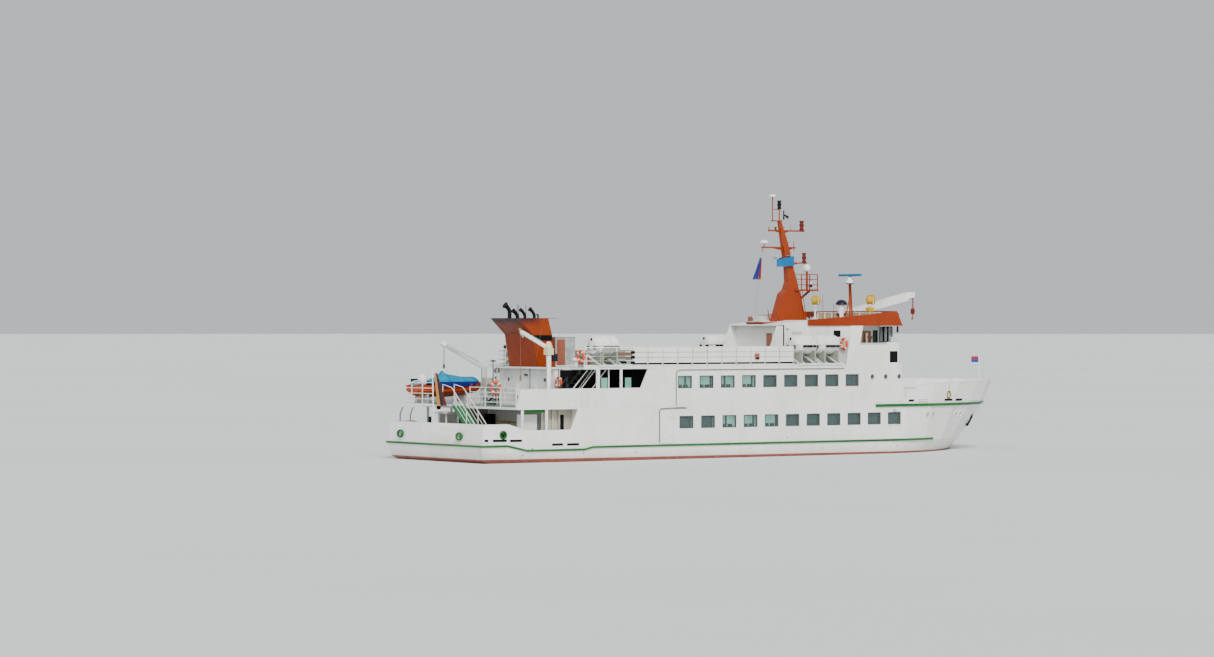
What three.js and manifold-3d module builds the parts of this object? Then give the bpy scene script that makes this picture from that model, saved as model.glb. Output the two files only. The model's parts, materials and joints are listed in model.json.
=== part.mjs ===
// A small passenger ferry afloat, with an open stern, two saloon decks and a full-width bridge.
// Millimetres, +X towards the bow, +Y to port, +Z up.
// The origin is on the centreline at the waterline, amidships.
import * as THREE from "three";
import { mergeVertices } from "three/addons/utils/BufferGeometryUtils.js";
import Module from "manifold-3d";

const wasm = await Module();
wasm.setup();

// Heights above the waterline
const KEEL = -1600;
const BOOT_TOP = 150;
const MAIN_DECK = 720;
const TRANSOM_TOP = 2100;
const LOW_SILL = 1750;
const DECK_UNDER = 2860;
const UPPER_DECK = 2950;
const UPPER_SILL = 3970;
const BOAT_DECK_UNDER = 5010;
const BOAT_DECK = 5110;
const RAIL_TOP = 6190;
const ROOF_UNDER = 7370;
const ROOF = 7450;
const VISOR_TOP = 8300;

// Lengths along the ship
const TRANSOM = -19500;
const STERN_RAIL = -17260;
const UPPER_AFT = -17300;
const LOWER_SALOON_AFT = -13300;
const HOUSE_AFT = -13500;
const TONGUE_AFT = -13800;
const BOAT_DECK_AFT = -12950;
const UPPER_SALOON_AFT = -8300;
const FORECASTLE_AFT = 8150;
const BOW_START = 8600;
const FRONT_FOOT = 9550;
const FRONT_TOP = 9200;
const BOAT_DECK_FORE = 9300;
const DECKHOUSE_AFT = 2600;
const WHEELHOUSE_AFT = 5300;

// Breadths, each one half of the ship
const HALF = 4900;
const HOUSE_HALF = 2800;
const DECKHOUSE_HALF = 2300;
const WHEELHOUSE_HALF = 3500;
const FUNNEL_HALF = 1430;

// Plate thickness, the gap between pieces that touch, and the room round a door
const PLATE = 70;
const GAP = 0.4;
const DOOR_ROOM = 12;

// Windows of the two saloons: first centre, pitch, count and height of the centres
const WINDOW_W = 900;
const WINDOW_H = 640;
const WINDOW_DEPTH = 260;
const LOWER_WINDOWS = { first: -6110, pitch: 1480, count: 11, height: 2040 };
const UPPER_WINDOWS = { first: -6210, pitch: 1475, count: 9, height: 4260 };

// Doors in the ship's side and in the wheelhouse: aft and fore edge, foot and head, outer face
const SHELL_DOOR = { aft: -7900, fore: -7000, foot: 860, head: 2740, face: HALF, thick: 60 };
const BRIDGE_DOOR = { aft: 7450, fore: 8100, foot: 5180, head: 7080, face: WHEELHOUSE_HALF, thick: 50 };
const HINGE_OUT = 32;
const HINGE_RADIUS = 22;

// Pairs of bollards on the foredeck, the same to port and starboard
const FORE_BOLLARDS = [
  { x: 11900, y: 3850 },
  { x: 16300, y: 1950 },
];

// Life-raft canisters: middle of each along the ship, and their common size and place
const RAFTS = [-11200, 2500, 4150];
const RAFT = { radius: 560, half: 800, y: 4190, z: 6300 };

// Benches on the boat deck, each with seats on both sides of its back
const BENCHES = { x: [-8200, -5900, -3600, -1300], y: [-1950, 1950], half: 1450, deep: 440 };

// Lockers on the boat deck: ends along the ship, ends across it, height
const LOCKERS = [
  { x: [-12050, -10750], y: [-750, 750], high: 1630 },
  { x: [-9550, -9050], y: [-950, -50], high: 590 },
  { x: [-9550, -9050], y: [50, 950], high: 590 },
  { x: [650, 1150], y: [-950, -50], high: 590 },
  { x: [650, 1150], y: [50, 950], high: 590 },
];

// Running gear: shaft line, propeller and rudder
const SHAFT_Y = 2100;
const SHAFT_Z = -1060;
const PROPELLER = { x: -17170, radius: 500, blades: 4 };
const RUDDER = { x: -18350, aft: -18800, fore: -18080, foot: -1520, head: -620 };

// Foredeck crane, stern davit and side davit: where each turns, and its tip
const CRANE = { x: 11200, y: 3400, turn: 4400, pivot: 7950, tip: [14100, 0, 9200], nose: 330 };
const CRANE_CHEEK = 320;
const HOOK_PIN = 50;
const DAVIT = { x: -15000, y: 2000, turn: 4200, knee: 5100, tip: [-17000, 3000, 6360] };
const SIDE_DAVIT = { x: -14800, y: -4200, knee: 6200, tip: [-16100, -3400, 7070] };
const RADAR = { x: 8850, y: -580, turn: 10240 };
const BOAT_Y = 3000;

// The mast's outline: height, aft and fore edge, half breadth
const MAST_LEVELS = [
  { z: 7300, aft: 3490, fore: 5960, half: 300 },
  { z: 9240, aft: 4160, fore: 5390, half: 300 },
  { z: 9480, aft: 4460, fore: 5310, half: 280 },
  { z: 9950, aft: 4610, fore: 5220, half: 245 },
  { z: 10750, aft: 4530, fore: 4975, half: 200 },
  { z: 12150, aft: 4240, fore: 4630, half: 140 },
  { z: 13470, aft: 4010, fore: 4150, half: 120 },
];

function paint(color, roughness = 0.5, metalness = 0) {
  return new THREE.MeshStandardMaterial({ color, roughness, metalness });
}

const PAINT = {
  white: paint(0xe6e6e4, 0.45),
  orange: paint(0xb4502c),
  green: paint(0x2f7a3c, 0.6),
  deck: paint(0x47705a, 0.8),
  grey: paint(0xb9bcbb, 0.6, 0.1),
  black: paint(0x1c1c1e, 0.6, 0.1),
  blue: paint(0x1b78b4, 0.6),
  yellow: paint(0xd6b32a, 0.5, 0.1),
  bronze: paint(0xa8823c, 0.35, 0.9),
  wood: paint(0x9a5a24, 0.55),
  boat: paint(0xd8571f, 0.5),
  cover: paint(0x7fb4cf, 0.85),
};

const ferry = new THREE.Group();

// Solids: a closed mesh with merged corners, faces pointing out
function solid(geometry) {
  const bare = geometry.clone();
  bare.deleteAttribute("normal");
  bare.deleteAttribute("uv");
  const merged = mergeVertices(bare, 1e-2);
  const at = merged.attributes.position;
  const index = merged.index.array;
  const corner = (i) => new THREE.Vector3().fromBufferAttribute(at, i);
  const faces = [];
  let volume = 0;
  for (let i = 0; i < index.length; i += 3) {
    const [a, b, c] = index.slice(i, i + 3);
    if (a !== b && b !== c && c !== a) {
      faces.push([a, b, c]);
      volume += corner(a).dot(corner(b).cross(corner(c)));
    }
  }
  const outward = volume < 0 ? faces.map(([a, b, c]) => [a, c, b]) : faces;
  return new wasm.Manifold(
    new wasm.Mesh({
      numProp: 3,
      vertProperties: at.array,
      triVerts: new Uint32Array(outward.flat()),
    }),
  );
}

function join(...parts) {
  return parts.flat().reduce((a, b) => a.add(b));
}

function cut(body, ...tools) {
  return tools.flat().reduce((a, b) => a.subtract(b), body);
}

function geometryOf(body) {
  const mesh = body.getMesh();
  const stride = mesh.numProp;
  const points = new Float32Array(mesh.numVert * 3);
  for (let i = 0; i < mesh.numVert; i++) {
    points.set(mesh.vertProperties.subarray(i * stride, i * stride + 3), i * 3);
  }
  return new THREE.BufferGeometry()
    .setAttribute("position", new THREE.BufferAttribute(points, 3))
    .setIndex(new THREE.BufferAttribute(mesh.triVerts, 1));
}

function piece(name, body, material) {
  const geometry = geometryOf(body);
  geometry.computeVertexNormals();
  const mesh = new THREE.Mesh(geometry, material);
  mesh.name = name;
  ferry.add(mesh);
}

function mirrored(body) {
  return solid(geometryOf(body).scale(1, -1, 1));
}

// A piece to starboard and its mirror image to port
function pair(name, body, material) {
  piece(name + "_starboard", body, material);
  piece(name + "_port", mirrored(body), material);
}

function bothSides(body) {
  return [body, mirrored(body)];
}

// Basic shapes
function box(x0, x1, y0, y1, z0, z1) {
  const g = new THREE.BoxGeometry(x1 - x0, y1 - y0, z1 - z0);
  g.translate((x0 + x1) / 2, (y0 + y1) / 2, (z0 + z1) / 2);
  return solid(g);
}

function shapeOf(points, holes = []) {
  const shape = new THREE.Shape(points.map(([a, b]) => new THREE.Vector2(a, b)));
  shape.holes = holes.map((hole) => new THREE.Path(hole.map(([a, b]) => new THREE.Vector2(a, b))));
  return shape;
}

function extruded(points, depth, holes) {
  return new THREE.ExtrudeGeometry(shapeOf(points, holes), { depth, bevelEnabled: false });
}

// An outline in X and Z, from y0 to y1
function profile(points, y0, y1, holes) {
  const g = extruded(points, y1 - y0, holes);
  return solid(g.rotateX(Math.PI / 2).translate(0, y1, 0));
}

// An outline in X and Y, from z0 to z1
function plan(points, z0, z1, holes) {
  return solid(extruded(points, z1 - z0, holes).translate(0, 0, z0));
}

// An outline in Y and Z, from x0 to x1
function section(points, x0, x1, holes) {
  const g = extruded(points, x1 - x0, holes);
  return solid(g.rotateX(Math.PI / 2).rotateZ(Math.PI / 2).translate(x0, 0, 0));
}

function rectangle(a0, a1, b0, b1) {
  return [
    [a0, b0],
    [a1, b0],
    [a1, b1],
    [a0, b1],
  ];
}

function oval(a, b, halfA, halfB, sides = 12) {
  return Array.from({ length: sides }, (_, i) => {
    const turn = (i * 2 * Math.PI) / sides;
    return [a + halfA * Math.cos(turn), b + halfB * Math.sin(turn)];
  });
}

// A shape of three.js that stands on +Y, laid from one point to another
function laid(geometry, from, to) {
  const a = new THREE.Vector3(...from);
  const b = new THREE.Vector3(...to);
  const along = b.clone().sub(a).normalize();
  geometry.applyQuaternion(new THREE.Quaternion().setFromUnitVectors(new THREE.Vector3(0, 1, 0), along));
  const middle = a.add(b).multiplyScalar(0.5);
  return solid(geometry.translate(middle.x, middle.y, middle.z));
}

function distance(from, to) {
  return new THREE.Vector3(...from).distanceTo(new THREE.Vector3(...to));
}

function rod(from, to, radius, sides = 8, endRadius = radius) {
  return laid(new THREE.CylinderGeometry(endRadius, radius, distance(from, to), sides), from, to);
}

// A square bar between two points
function bar(from, to, width, depth = width) {
  const a = new THREE.Vector3(...from);
  const b = new THREE.Vector3(...to);
  const along = b.clone().sub(a);
  const g = new THREE.BoxGeometry(along.length(), width, depth);
  g.rotateY(-Math.asin(along.z / along.length())).rotateZ(Math.atan2(along.y, along.x));
  const middle = a.add(b).multiplyScalar(0.5);
  return solid(g.translate(middle.x, middle.y, middle.z));
}

// A shape turned about a line from one point to another: pairs of radius and way along the line
function turned(points, from, to, sides) {
  const half = distance(from, to) / 2;
  const outline = points.map(([radius, along]) => new THREE.Vector2(radius, along - half));
  return laid(new THREE.LatheGeometry(outline, sides), from, to);
}

// The corners of a flat outline moved inwards, or outwards where the distance is negative
function inset(points, by) {
  const area = points.reduce((sum, [x, y], i) => {
    const [nx, ny] = points[(i + 1) % points.length];
    return sum + x * ny - nx * y;
  }, 0);
  const side = Math.sign(area) * by;
  return points.map(([x, y], i) => {
    const [px, py] = points.at(i - 1);
    const [nx, ny] = points[(i + 1) % points.length];
    const before = new THREE.Vector2(x - px, y - py).normalize();
    const after = new THREE.Vector2(nx - x, ny - y).normalize();
    const grow = side / (1 + before.dot(after));
    return [x - (before.y + after.y) * grow, y + (before.x + after.x) * grow];
  });
}

// A skin over rows of points: each row is a closed loop with as many corners as the next
function skinned(rows) {
  const across = rows[0].length;
  const faces = [];
  for (let i = 0; i + 1 < rows.length; i++) {
    for (let j = 0; j < across; j++) {
      const [a, b] = [i * across + j, i * across + ((j + 1) % across)];
      faces.push(a, b, b + across, a, b + across, a + across);
    }
  }
  const cap = ladder(across);
  const last = (rows.length - 1) * across;
  for (const [a, b, c] of cap) {
    faces.push(a, c, b, a + last, b + last, c + last);
  }
  const g = new THREE.BufferGeometry();
  g.setAttribute("position", new THREE.BufferAttribute(new Float32Array(rows.flat(2)), 3));
  return solid(g.setIndex(faces));
}

// Triangles over a loop whose second half mirrors its first
function ladder(count) {
  const steps = Array.from({ length: count / 2 - 1 }, (_, i) => i);
  return steps.flatMap((i) => [
    [i, i + 1, count - 2 - i],
    [i, count - 2 - i, count - 1 - i],
  ]);
}

// Bow lines: height, stem, half breadth amidships, and the two powers that shape the plan
const LINES = {
  flat: { z: KEEL, stem: 15000, half: 3500, full: 1.5, blunt: 1.2 },
  bilge: { z: -1150, stem: 16000, half: 4550, full: 1.6, blunt: 1.05 },
  boot: { z: BOOT_TOP, stem: 17020, half: HALF, full: 1.8, blunt: 0.92 },
  main: { z: MAIN_DECK, stem: 17480, half: HALF, full: 2.0, blunt: 0.82 },
  castle: { z: DECK_UNDER, stem: 18920, half: HALF, full: 2.5, blunt: 0.62 },
  deck: { z: UPPER_DECK, stem: 18990, half: HALF, full: 2.5, blunt: 0.62 },
  rail: { z: 4050, stem: 19550, half: HALF, full: 2.6, blunt: 0.6 },
};
const STEM_HALF = 60;
const BOW_STEPS = 8;

// Lines aft: height and half breadth of each line at four stations
const RUN = [
  { x: [-18700, -19050, -19300, TRANSOM], z: [-250, -50], half: [3350, 4300, 4720, 4870] },
  { x: [-17000, -17000, -17000, -17000], z: [-480, -250], half: [3400, 4350, 4790, 4885] },
  { x: [-13500, -13500, -13500, -13500], z: [-1050, -750], half: [3450, 4450, 4880, HALF] },
  { x: [-9000, -9000, -9000, -9000], z: [KEEL, -1150], half: [3500, 4550, HALF, HALF] },
];

// A point of a bow line; a negative inset lies outside the line
function bowPoint(line, x, by) {
  const t = Math.max(0, (x - BOW_START) / (line.stem - by - BOW_START));
  const shape = Math.max(0, 1 - t ** line.full) ** line.blunt;
  return [x, Math.max(STEM_HALF - 0.7 * by, (line.half - by) * shape), line.z];
}

// Where a line is measured: straight up to the bow, then crowding towards the stem
function stationsOf(line, aft, by) {
  const straight = [aft, BOW_START].filter((x, i) => i === 0 || x > aft + 1);
  const spread = Array.from({ length: BOW_STEPS }, (_, i) => Math.sin((i / (BOW_STEPS - 1)) * (Math.PI / 2)));
  const round = spread.map((s) => FRONT_FOOT + (line.stem - by - FRONT_FOOT) * s);
  return [...straight, ...round.filter((x) => x > aft + 1)];
}

function withMirror(half) {
  return [...half, ...half.map(([x, y, z]) => [x, -y, z]).reverse()];
}

// The bow between two of its lines, from z0 to z1 on the slope between them
function bowSkin(low, high, aft, by, z0, z1) {
  const lowStations = stationsOf(low, aft, by);
  const highStations = stationsOf(high, aft, by);
  const rows = lowStations.map((x, i) => {
    const a = bowPoint(low, x, by);
    const b = bowPoint(high, highStations[i], by);
    const at = (z) => {
      const height = typeof z === "function" ? z(a[0]) : z;
      const s = (height - low.z) / (high.z - low.z);
      return [a[0] + (b[0] - a[0]) * s, a[1] + (b[1] - a[1]) * s, height];
    };
    return withMirror([at(z0), at(z1)]);
  });
  return skinned(rows);
}

function hull() {
  const below = [LINES.flat, LINES.bilge, LINES.boot, LINES.main];
  const aft = RUN.map(({ x, z, half }) => {
    const heights = [...z, BOOT_TOP, MAIN_DECK];
    return withMirror(heights.map((height, i) => [x[i], half[i], height]));
  });
  const stations = below.map((line) => stationsOf(line, BOW_START, 0));
  const fore = stations[0].map((_, i) =>
    withMirror(below.map((line, k) => bowPoint(line, stations[k][i], 0))),
  );
  const skeg = profile(
    [
      [-15600, -900],
      [-15200, KEEL + 40],
      [-8000, KEEL + 1],
      [-8000, KEEL + 400],
    ],
    -90,
    90,
  );
  return join(skinned([...aft, ...fore]), skeg, ...bothSides(shaftSupport()));
}

// Shaft, its bracket and the tube that the rudder's stock comes out of
function shaftSupport() {
  const end = PROPELLER.x + 120;
  const shaft = rod([-11000, -SHAFT_Y, SHAFT_Z + 60], [end + 100, -SHAFT_Y, SHAFT_Z], 60, 10);
  const boss = rod([end + 500, -SHAFT_Y, SHAFT_Z], [end, -SHAFT_Y, SHAFT_Z], 120, 12);
  const legs = [-420, 420].map((out) =>
    bar([end + 250, -SHAFT_Y, SHAFT_Z], [end + 250, -SHAFT_Y + out, -300], 60, 220),
  );
  const tube = rod([RUDDER.x, -SHAFT_Y, 0], [RUDDER.x, -SHAFT_Y, RUDDER.head + 80 + GAP], 110, 12);
  return join(shaft, boss, ...legs, tube);
}

function windowRecesses(row) {
  return Array.from({ length: row.count }, (_, i) => {
    const middle = row.first + i * row.pitch;
    const reach = [middle - WINDOW_W / 2, middle + WINDOW_W / 2];
    const height = [row.height - WINDOW_H / 2, row.height + WINDOW_H / 2];
    return bothSides(box(...reach, -HALF - 100, -HALF + WINDOW_DEPTH, ...height));
  }).flat();
}

// The room that a door closes, and the lug under each of its two hinges
function doorway(door, depth) {
  const room = box(door.aft, door.fore, -door.face - 100, -door.face + depth, door.foot, door.head);
  return bothSides(room);
}

function hingeHeights(door) {
  return [door.foot + 350, door.head - 450];
}

function hingeLugs(door) {
  const axis = -door.face - HINGE_OUT;
  const lugs = hingeHeights(door).map((z) =>
    box(door.fore + 15, door.fore + 70, axis - HINGE_RADIUS, -door.face + 5, z - 60, z - GAP),
  );
  return lugs.flatMap((lug) => bothSides(lug));
}

// A door with a window or none, hung at its fore edge on the outside of the wall
function hungDoor(door, window) {
  const [aft, fore] = [door.aft + DOOR_ROOM, door.fore - DOOR_ROOM];
  const outer = -door.face;
  const leaf = box(aft, fore, outer, outer + door.thick, door.foot + DOOR_ROOM, door.head - DOOR_ROOM);
  const axisX = door.fore + 40;
  const axisY = outer - HINGE_OUT;
  const hinges = hingeHeights(door).flatMap((z) => [
    rod([axisX, axisY, z], [axisX, axisY, z + 160], HINGE_RADIUS, 10),
    box(fore - 300, axisX, axisY - 8, axisY + 8, z + 40, z + 120),
    box(fore - 300, fore - 10, axisY - 8, outer + 5, z + 40, z + 120),
  ]);
  const hung = join(leaf, ...hinges);
  return window ? cut(hung, box(aft + 120, fore - 120, outer - 20, outer + 100, ...window)) : hung;
}

function lowerSaloon() {
  const block = box(LOWER_SALOON_AFT, FORECASTLE_AFT, -HALF, HALF, MAIN_DECK + GAP, DECK_UNDER);
  const open = cut(block, ...windowRecesses(LOWER_WINDOWS), ...doorway(SHELL_DOOR, 950));
  return join(open, ...hingeLugs(SHELL_DOOR));
}

function forecastle() {
  const body = bowSkin(LINES.main, LINES.castle, FORECASTLE_AFT + GAP, 0, MAIN_DECK + GAP, DECK_UNDER);
  return cut(body, ...windowRecesses(LOWER_WINDOWS));
}

function upperSaloon() {
  const outline = [
    [UPPER_SALOON_AFT, UPPER_DECK + GAP],
    [FRONT_FOOT, UPPER_DECK + GAP],
    [FRONT_TOP, BOAT_DECK_UNDER],
    [UPPER_SALOON_AFT, BOAT_DECK_UNDER],
  ];
  return cut(profile(outline, -HALF, HALF), ...windowRecesses(UPPER_WINDOWS));
}

// Half breadth of the hull's side at the main deck, aft of amidships
function sideAt(x) {
  const at = RUN.map(({ x: xs, half }) => [xs[3], half[3]]);
  const i = at.findIndex(([next]) => x <= next);
  if (i <= 0) {
    return i === 0 ? at[0][1] : HALF;
  }
  const [[x0, y0], [x1, y1]] = [at[i - 1], at[i]];
  return y0 + ((y1 - y0) * (x - x0)) / (x1 - x0);
}

// The upper deck follows the sides to the bow, and carries the hatch, bollards and crane pedestal
function upperDeck() {
  const bow = stationsOf(LINES.castle, BOW_START, 0).map((x) => bowPoint(LINES.castle, x, 0));
  const edge = [[UPPER_AFT, sideAt(UPPER_AFT)], [-13500, HALF], ...bow.map(([x, y]) => [x, y])];
  const outline = [...edge, ...edge.map(([x, y]) => [x, -y]).reverse()];
  const deck = plan(outline, DECK_UNDER + GAP, UPPER_DECK);
  const hatch = box(13000, 14600, -900, 900, UPPER_DECK - 10, UPPER_DECK + 260);
  const bollards = FORE_BOLLARDS.flatMap(({ x, y }) => bothSides(bollardPair(x, -y)));
  const pedestal = rod([CRANE.x, CRANE.y, UPPER_DECK - 5], [CRANE.x, CRANE.y, CRANE.turn], 420, 16);
  return join(deck, hatch, ...bollards, pedestal);
}

function bollardPair(x, y) {
  const [foot, head] = [UPPER_DECK - 5, UPPER_DECK + 420];
  const posts = [x - 260, x + 260].map((at) => rod([at, y, foot], [at, y, head], 90, 10));
  return join(box(x - 420, x + 420, y - 140, y + 140, UPPER_DECK - 10, UPPER_DECK + 30), ...posts);
}

// Across the stern: the middles of the two rope holes, and the ensign staff
const ROPE_HOLES = [-2650, 3450];
const STAFF_Y = 220;

// The bulwark round the stern, with its posts up to the deck above and four holes for ropes
function sternBulwark() {
  const loop = (z, transom, by) => {
    const half = [
      [LOWER_SALOON_AFT - GAP + (by ? 200 : 0), HALF - by, z],
      [-17000, sideAt(-17000) - by, z],
      [transom + by, sideAt(TRANSOM) - by, z],
    ];
    return withMirror(half).reverse();
  };
  const knee = 1020;
  const lean = 100;
  const levels = [
    [MAIN_DECK + GAP, TRANSOM],
    [knee, TRANSOM],
    [DECK_UNDER, TRANSOM + lean * 1.7],
  ];
  const outer = skinned(levels.map(([z, x]) => loop(z, x, 0)));
  const within = [[MAIN_DECK - 50, TRANSOM], levels[1], [DECK_UNDER + 50, TRANSOM + lean * 1.75]];
  const inner = skinned(within.map(([z, x]) => loop(z, x, PLATE)));
  const above = profile(
    [
      [TRANSOM - 500, TRANSOM_TOP],
      [-17850, TRANSOM_TOP],
      [-16660, LOW_SILL],
      [-13820, LOW_SILL],
      [-13390, DECK_UNDER - 120],
      [-13390, DECK_UNDER + 100],
      [TRANSOM - 500, DECK_UNDER + 100],
    ],
    -HALF - 200,
    HALF + 200,
  );
  const holes = ROPE_HOLES.map((y) => section(oval(y, 1430, 240, 160), TRANSOM - 200, TRANSOM + 400));
  const sideHoles = rod([-18170, -HALF - 100, 1530], [-18170, HALF + 100, 1530], 170, 10);
  const posts = [-16920, -15370].map((x) => {
    const out = sideAt(x) - 15;
    return bothSides(box(x - 70, x + 70, -out, -out + PLATE, LOW_SILL - 200, DECK_UNDER));
  });
  const staff = rod([-19370, STAFF_Y, TRANSOM_TOP - 60], [-19470, STAFF_Y, 4950], 32, 8, 24);
  return join(cut(outer, inner, above, ...holes, sideHoles), ...posts.flat(), staff);
}

// The screen along each side of the upper deck aft, open above its sill between posts
function sideScreen() {
  const post = (x, half) => [
    [x + half, UPPER_SILL],
    [x + half, BOAT_DECK_UNDER],
    [x - half, BOAT_DECK_UNDER],
    [x - half, UPPER_SILL],
  ];
  const outline = [
    [UPPER_AFT, UPPER_DECK + GAP],
    [UPPER_SALOON_AFT - GAP, UPPER_DECK + GAP],
    [UPPER_SALOON_AFT - GAP, BOAT_DECK_UNDER],
    [-8680, BOAT_DECK_UNDER],
    [-9180, UPPER_SILL],
    ...post(-10470, 70),
    ...post(-12000, 110),
    [-17020, UPPER_SILL],
  ];
  return profile(outline, -HALF + 30, -HALF + 30 + PLATE);
}

// Height of the bow bulwark's top edge along the ship
function bowSheer(x) {
  const table = [
    [9500, 3890],
    [12700, 4050],
    [16900, 4110],
    [20300, 4100],
  ];
  const i = Math.min(table.length - 1, Math.max(1, table.findIndex(([next]) => x <= next)));
  const [[x0, z0], [x1, z1]] = [table[i - 1], table[i]];
  return z0 + ((z1 - z0) * (x - x0)) / (x1 - x0);
}

// The bow bulwark, with the jackstaff against its stem
function bowBulwark() {
  const outer = bowSkin(LINES.deck, LINES.rail, FRONT_FOOT + GAP, 0, UPPER_DECK + GAP, bowSheer);
  const above = (x) => bowSheer(x) + 80;
  const inner = bowSkin(LINES.deck, LINES.rail, FRONT_FOOT - 200, PLATE, UPPER_DECK - 60, above);
  const foot = box(FRONT_FOOT - 100, FRONT_FOOT + 900, -HALF + 130, HALF - 130, UPPER_DECK - 60, 4300);
  const staff = rod([19285, 0, 3600], [19290, 0, 5590], 28, 8, 20);
  return join(cut(outer, inner, foot), staff);
}

// What a strake lies on, a little larger so that it clears the plating
function bowPlating() {
  return bowSkin(LINES.main, LINES.castle, 6000, -GAP - 0.4, MAIN_DECK + GAP, DECK_UNDER);
}

// The green rubbing strake: round the stern along a line that steps, and on along both sides
function rubbingStrake() {
  const out = 90;
  const line = [
    [8560, 782],
    [-12370, 782],
    [-12930, 660],
    [-13500, 660],
    [-16660, 660],
    [-17000, 740],
    [-17900, 930],
    [TRANSOM, 930],
  ];
  const row = (x, y, z, dx, dy) => [
    [x, y, z - 60],
    [x + dx * out, y + dy * out, z - 40],
    [x + dx * out, y + dy * out, z + 40],
    [x, y, z + 60],
  ];
  const side = line.map(([x, z]) => {
    const corner = x === TRANSOM;
    return row(x - (corner ? GAP : 0), sideAt(x) + GAP, z, corner ? -1 : 0, 1);
  });
  const other = side.map((points) => points.map(([x, y, z]) => [x, -y, z])).reverse();
  const band = bowSkin(LINES.main, LINES.castle, 8500, -out, 722, 842);
  const fore = cut(band, bowPlating(), box(12100, 20000, -HALF - 300, HALF + 300, 600, 1000));
  return join(skinned([...side, ...other]), fore);
}

// The green strake round the bow, under the upper deck
function bowStrake() {
  const band = bowSkin(LINES.main, LINES.castle, 7300, -80, 2700, DECK_UNDER - 1);
  return cut(band, bowPlating());
}

// The boat deck, with the benches and lockers that stand on it
function boatDeck() {
  const half = [
    [TONGUE_AFT, HOUSE_HALF + 100],
    [BOAT_DECK_AFT, HOUSE_HALF + 100],
    [BOAT_DECK_AFT, HALF],
    [BOAT_DECK_FORE, HALF],
  ];
  const outline = [...half, ...half.map(([x, y]) => [x, -y]).reverse()];
  const stairwell = bothSides(box(BOAT_DECK_AFT - 10, STAIR.top, -STAIR.out, -STAIR.in, 4900, 5300));
  const deck = cut(plan(outline, BOAT_DECK_UNDER + GAP, BOAT_DECK), ...stairwell);
  const benches = BENCHES.x.flatMap((x) => BENCHES.y.map((y) => bench(x, y)));
  const lockers = LOCKERS.map(({ x, y, high }) => box(...x, ...y, BOAT_DECK - 5, BOAT_DECK + high));
  return join(deck, ...benches, ...lockers);
}

// A bench across the ship: two seats back to back on two legs
function bench(x, y) {
  const [y0, y1] = [y - BENCHES.half, y + BENCHES.half];
  const seat = box(x - BENCHES.deep, x + BENCHES.deep, y0, y1, BOAT_DECK + 380, BOAT_DECK + 440);
  const back = box(x - 20, x + 20, y0, y1, BOAT_DECK + 430, BOAT_DECK + 880);
  const legs = [y0 + 200, y1 - 200].map((at) =>
    box(x - 340, x + 340, at - 30, at + 30, BOAT_DECK - 5, BOAT_DECK + 390),
  );
  return join(seat, back, ...legs);
}

// The house on the upper deck that carries the funnel, with a doorway aft on each side
function aftHouse() {
  const [foot, fore] = [UPPER_DECK + GAP, UPPER_SALOON_AFT - GAP];
  const block = box(HOUSE_AFT, fore, -HOUSE_HALF, HOUSE_HALF, foot, BOAT_DECK_UNDER);
  const doors = bothSides(box(HOUSE_AFT - 10, HOUSE_AFT + 60, -2200, -1450, foot + 120, foot + 1950));
  return cut(block, ...doors);
}

function funnel() {
  const outline = [
    [-13700, BOAT_DECK + GAP],
    [-12500, BOAT_DECK + GAP],
    [-12740, 6880],
    [-13000, 7800],
    [-14950, 7800],
    [-14000, 6880],
  ];
  const body = profile(outline, -FUNNEL_HALF, FUNNEL_HALF);
  const mouth = profile(
    [
      [-14700, 7700],
      [-13200, 7700],
      [-13150, 7900],
      [-14850, 7900],
    ],
    -FUNNEL_HALF + 120,
    FUNNEL_HALF - 120,
  );
  return cut(body, mouth);
}

// Four curved pipes on one plate in the funnel's mouth: x, y, height of the bend, radius
function exhaustPipes() {
  const pipes = [
    { x: -14120, y: 750, bend: 8380, radius: 180 },
    { x: -14050, y: 50, bend: 8100, radius: 120 },
    { x: -13760, y: -250, bend: 8080, radius: 120 },
    { x: -13500, y: -800, bend: 8160, radius: 115 },
  ];
  const plate = box(-14400, -13300, -1100, 1100, 7700 + GAP, 7740);
  const raised = pipes.flatMap(({ x, y, bend, radius }) => [
    rod([x, y, 7730], [x, y, bend], radius, 12),
    rod([x + 20, y, bend - 90], [x - 330, y, bend + 230], radius, 12),
  ]);
  return join(plate, ...raised);
}

// A rail as a frame with openings: posts at a pitch, bars at heights above its foot
function railHoles(a0, a1, z0, heights, pitch) {
  const count = Math.max(1, Math.round((a1 - a0) / pitch));
  const step = (a1 - a0) / count;
  const holes = [];
  for (let i = 0; i < count; i++) {
    for (let k = 0; k + 1 < heights.length; k++) {
      const [left, right] = [a0 + i * step + 22, a0 + (i + 1) * step - 22];
      holes.push(rectangle(left, right, z0 + heights[k] + 18, z0 + heights[k + 1] - 18));
    }
  }
  return holes;
}

const RAIL_BARS = [20, 290, 560, 820, 1080];

function railAlong(x0, x1, y, z, pitch = 1400, heights = RAIL_BARS) {
  const frame = rectangle(x0 - 22, x1 + 22, z + GAP, z + heights.at(-1) + 18);
  const holes = railHoles(x0, x1, z, heights, pitch).map((hole) => profile(hole, y - 50, y + 50));
  return cut(profile(frame, y - 20, y + 20), ...holes);
}

function railAcross(y0, y1, x, z, pitch = 1400, heights = RAIL_BARS) {
  const frame = rectangle(y0 - 22, y1 + 22, z + GAP, z + heights.at(-1) + 18);
  const holes = railHoles(y0, y1, z, heights, pitch).map((hole) => section(hole, x - 50, x + 50));
  return cut(section(frame, x - 20, x + 20), ...holes);
}

// The landing over the stern on the port side, a step above the deck, with two posts under it
const LANDING = { aft: -19200, step: -18400, inboard: -60, mid: 600, port: 4000, top: 3080, thick: 90 };
const LANDING_BARS = [20, 300, 600, 890, 1190];

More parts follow.
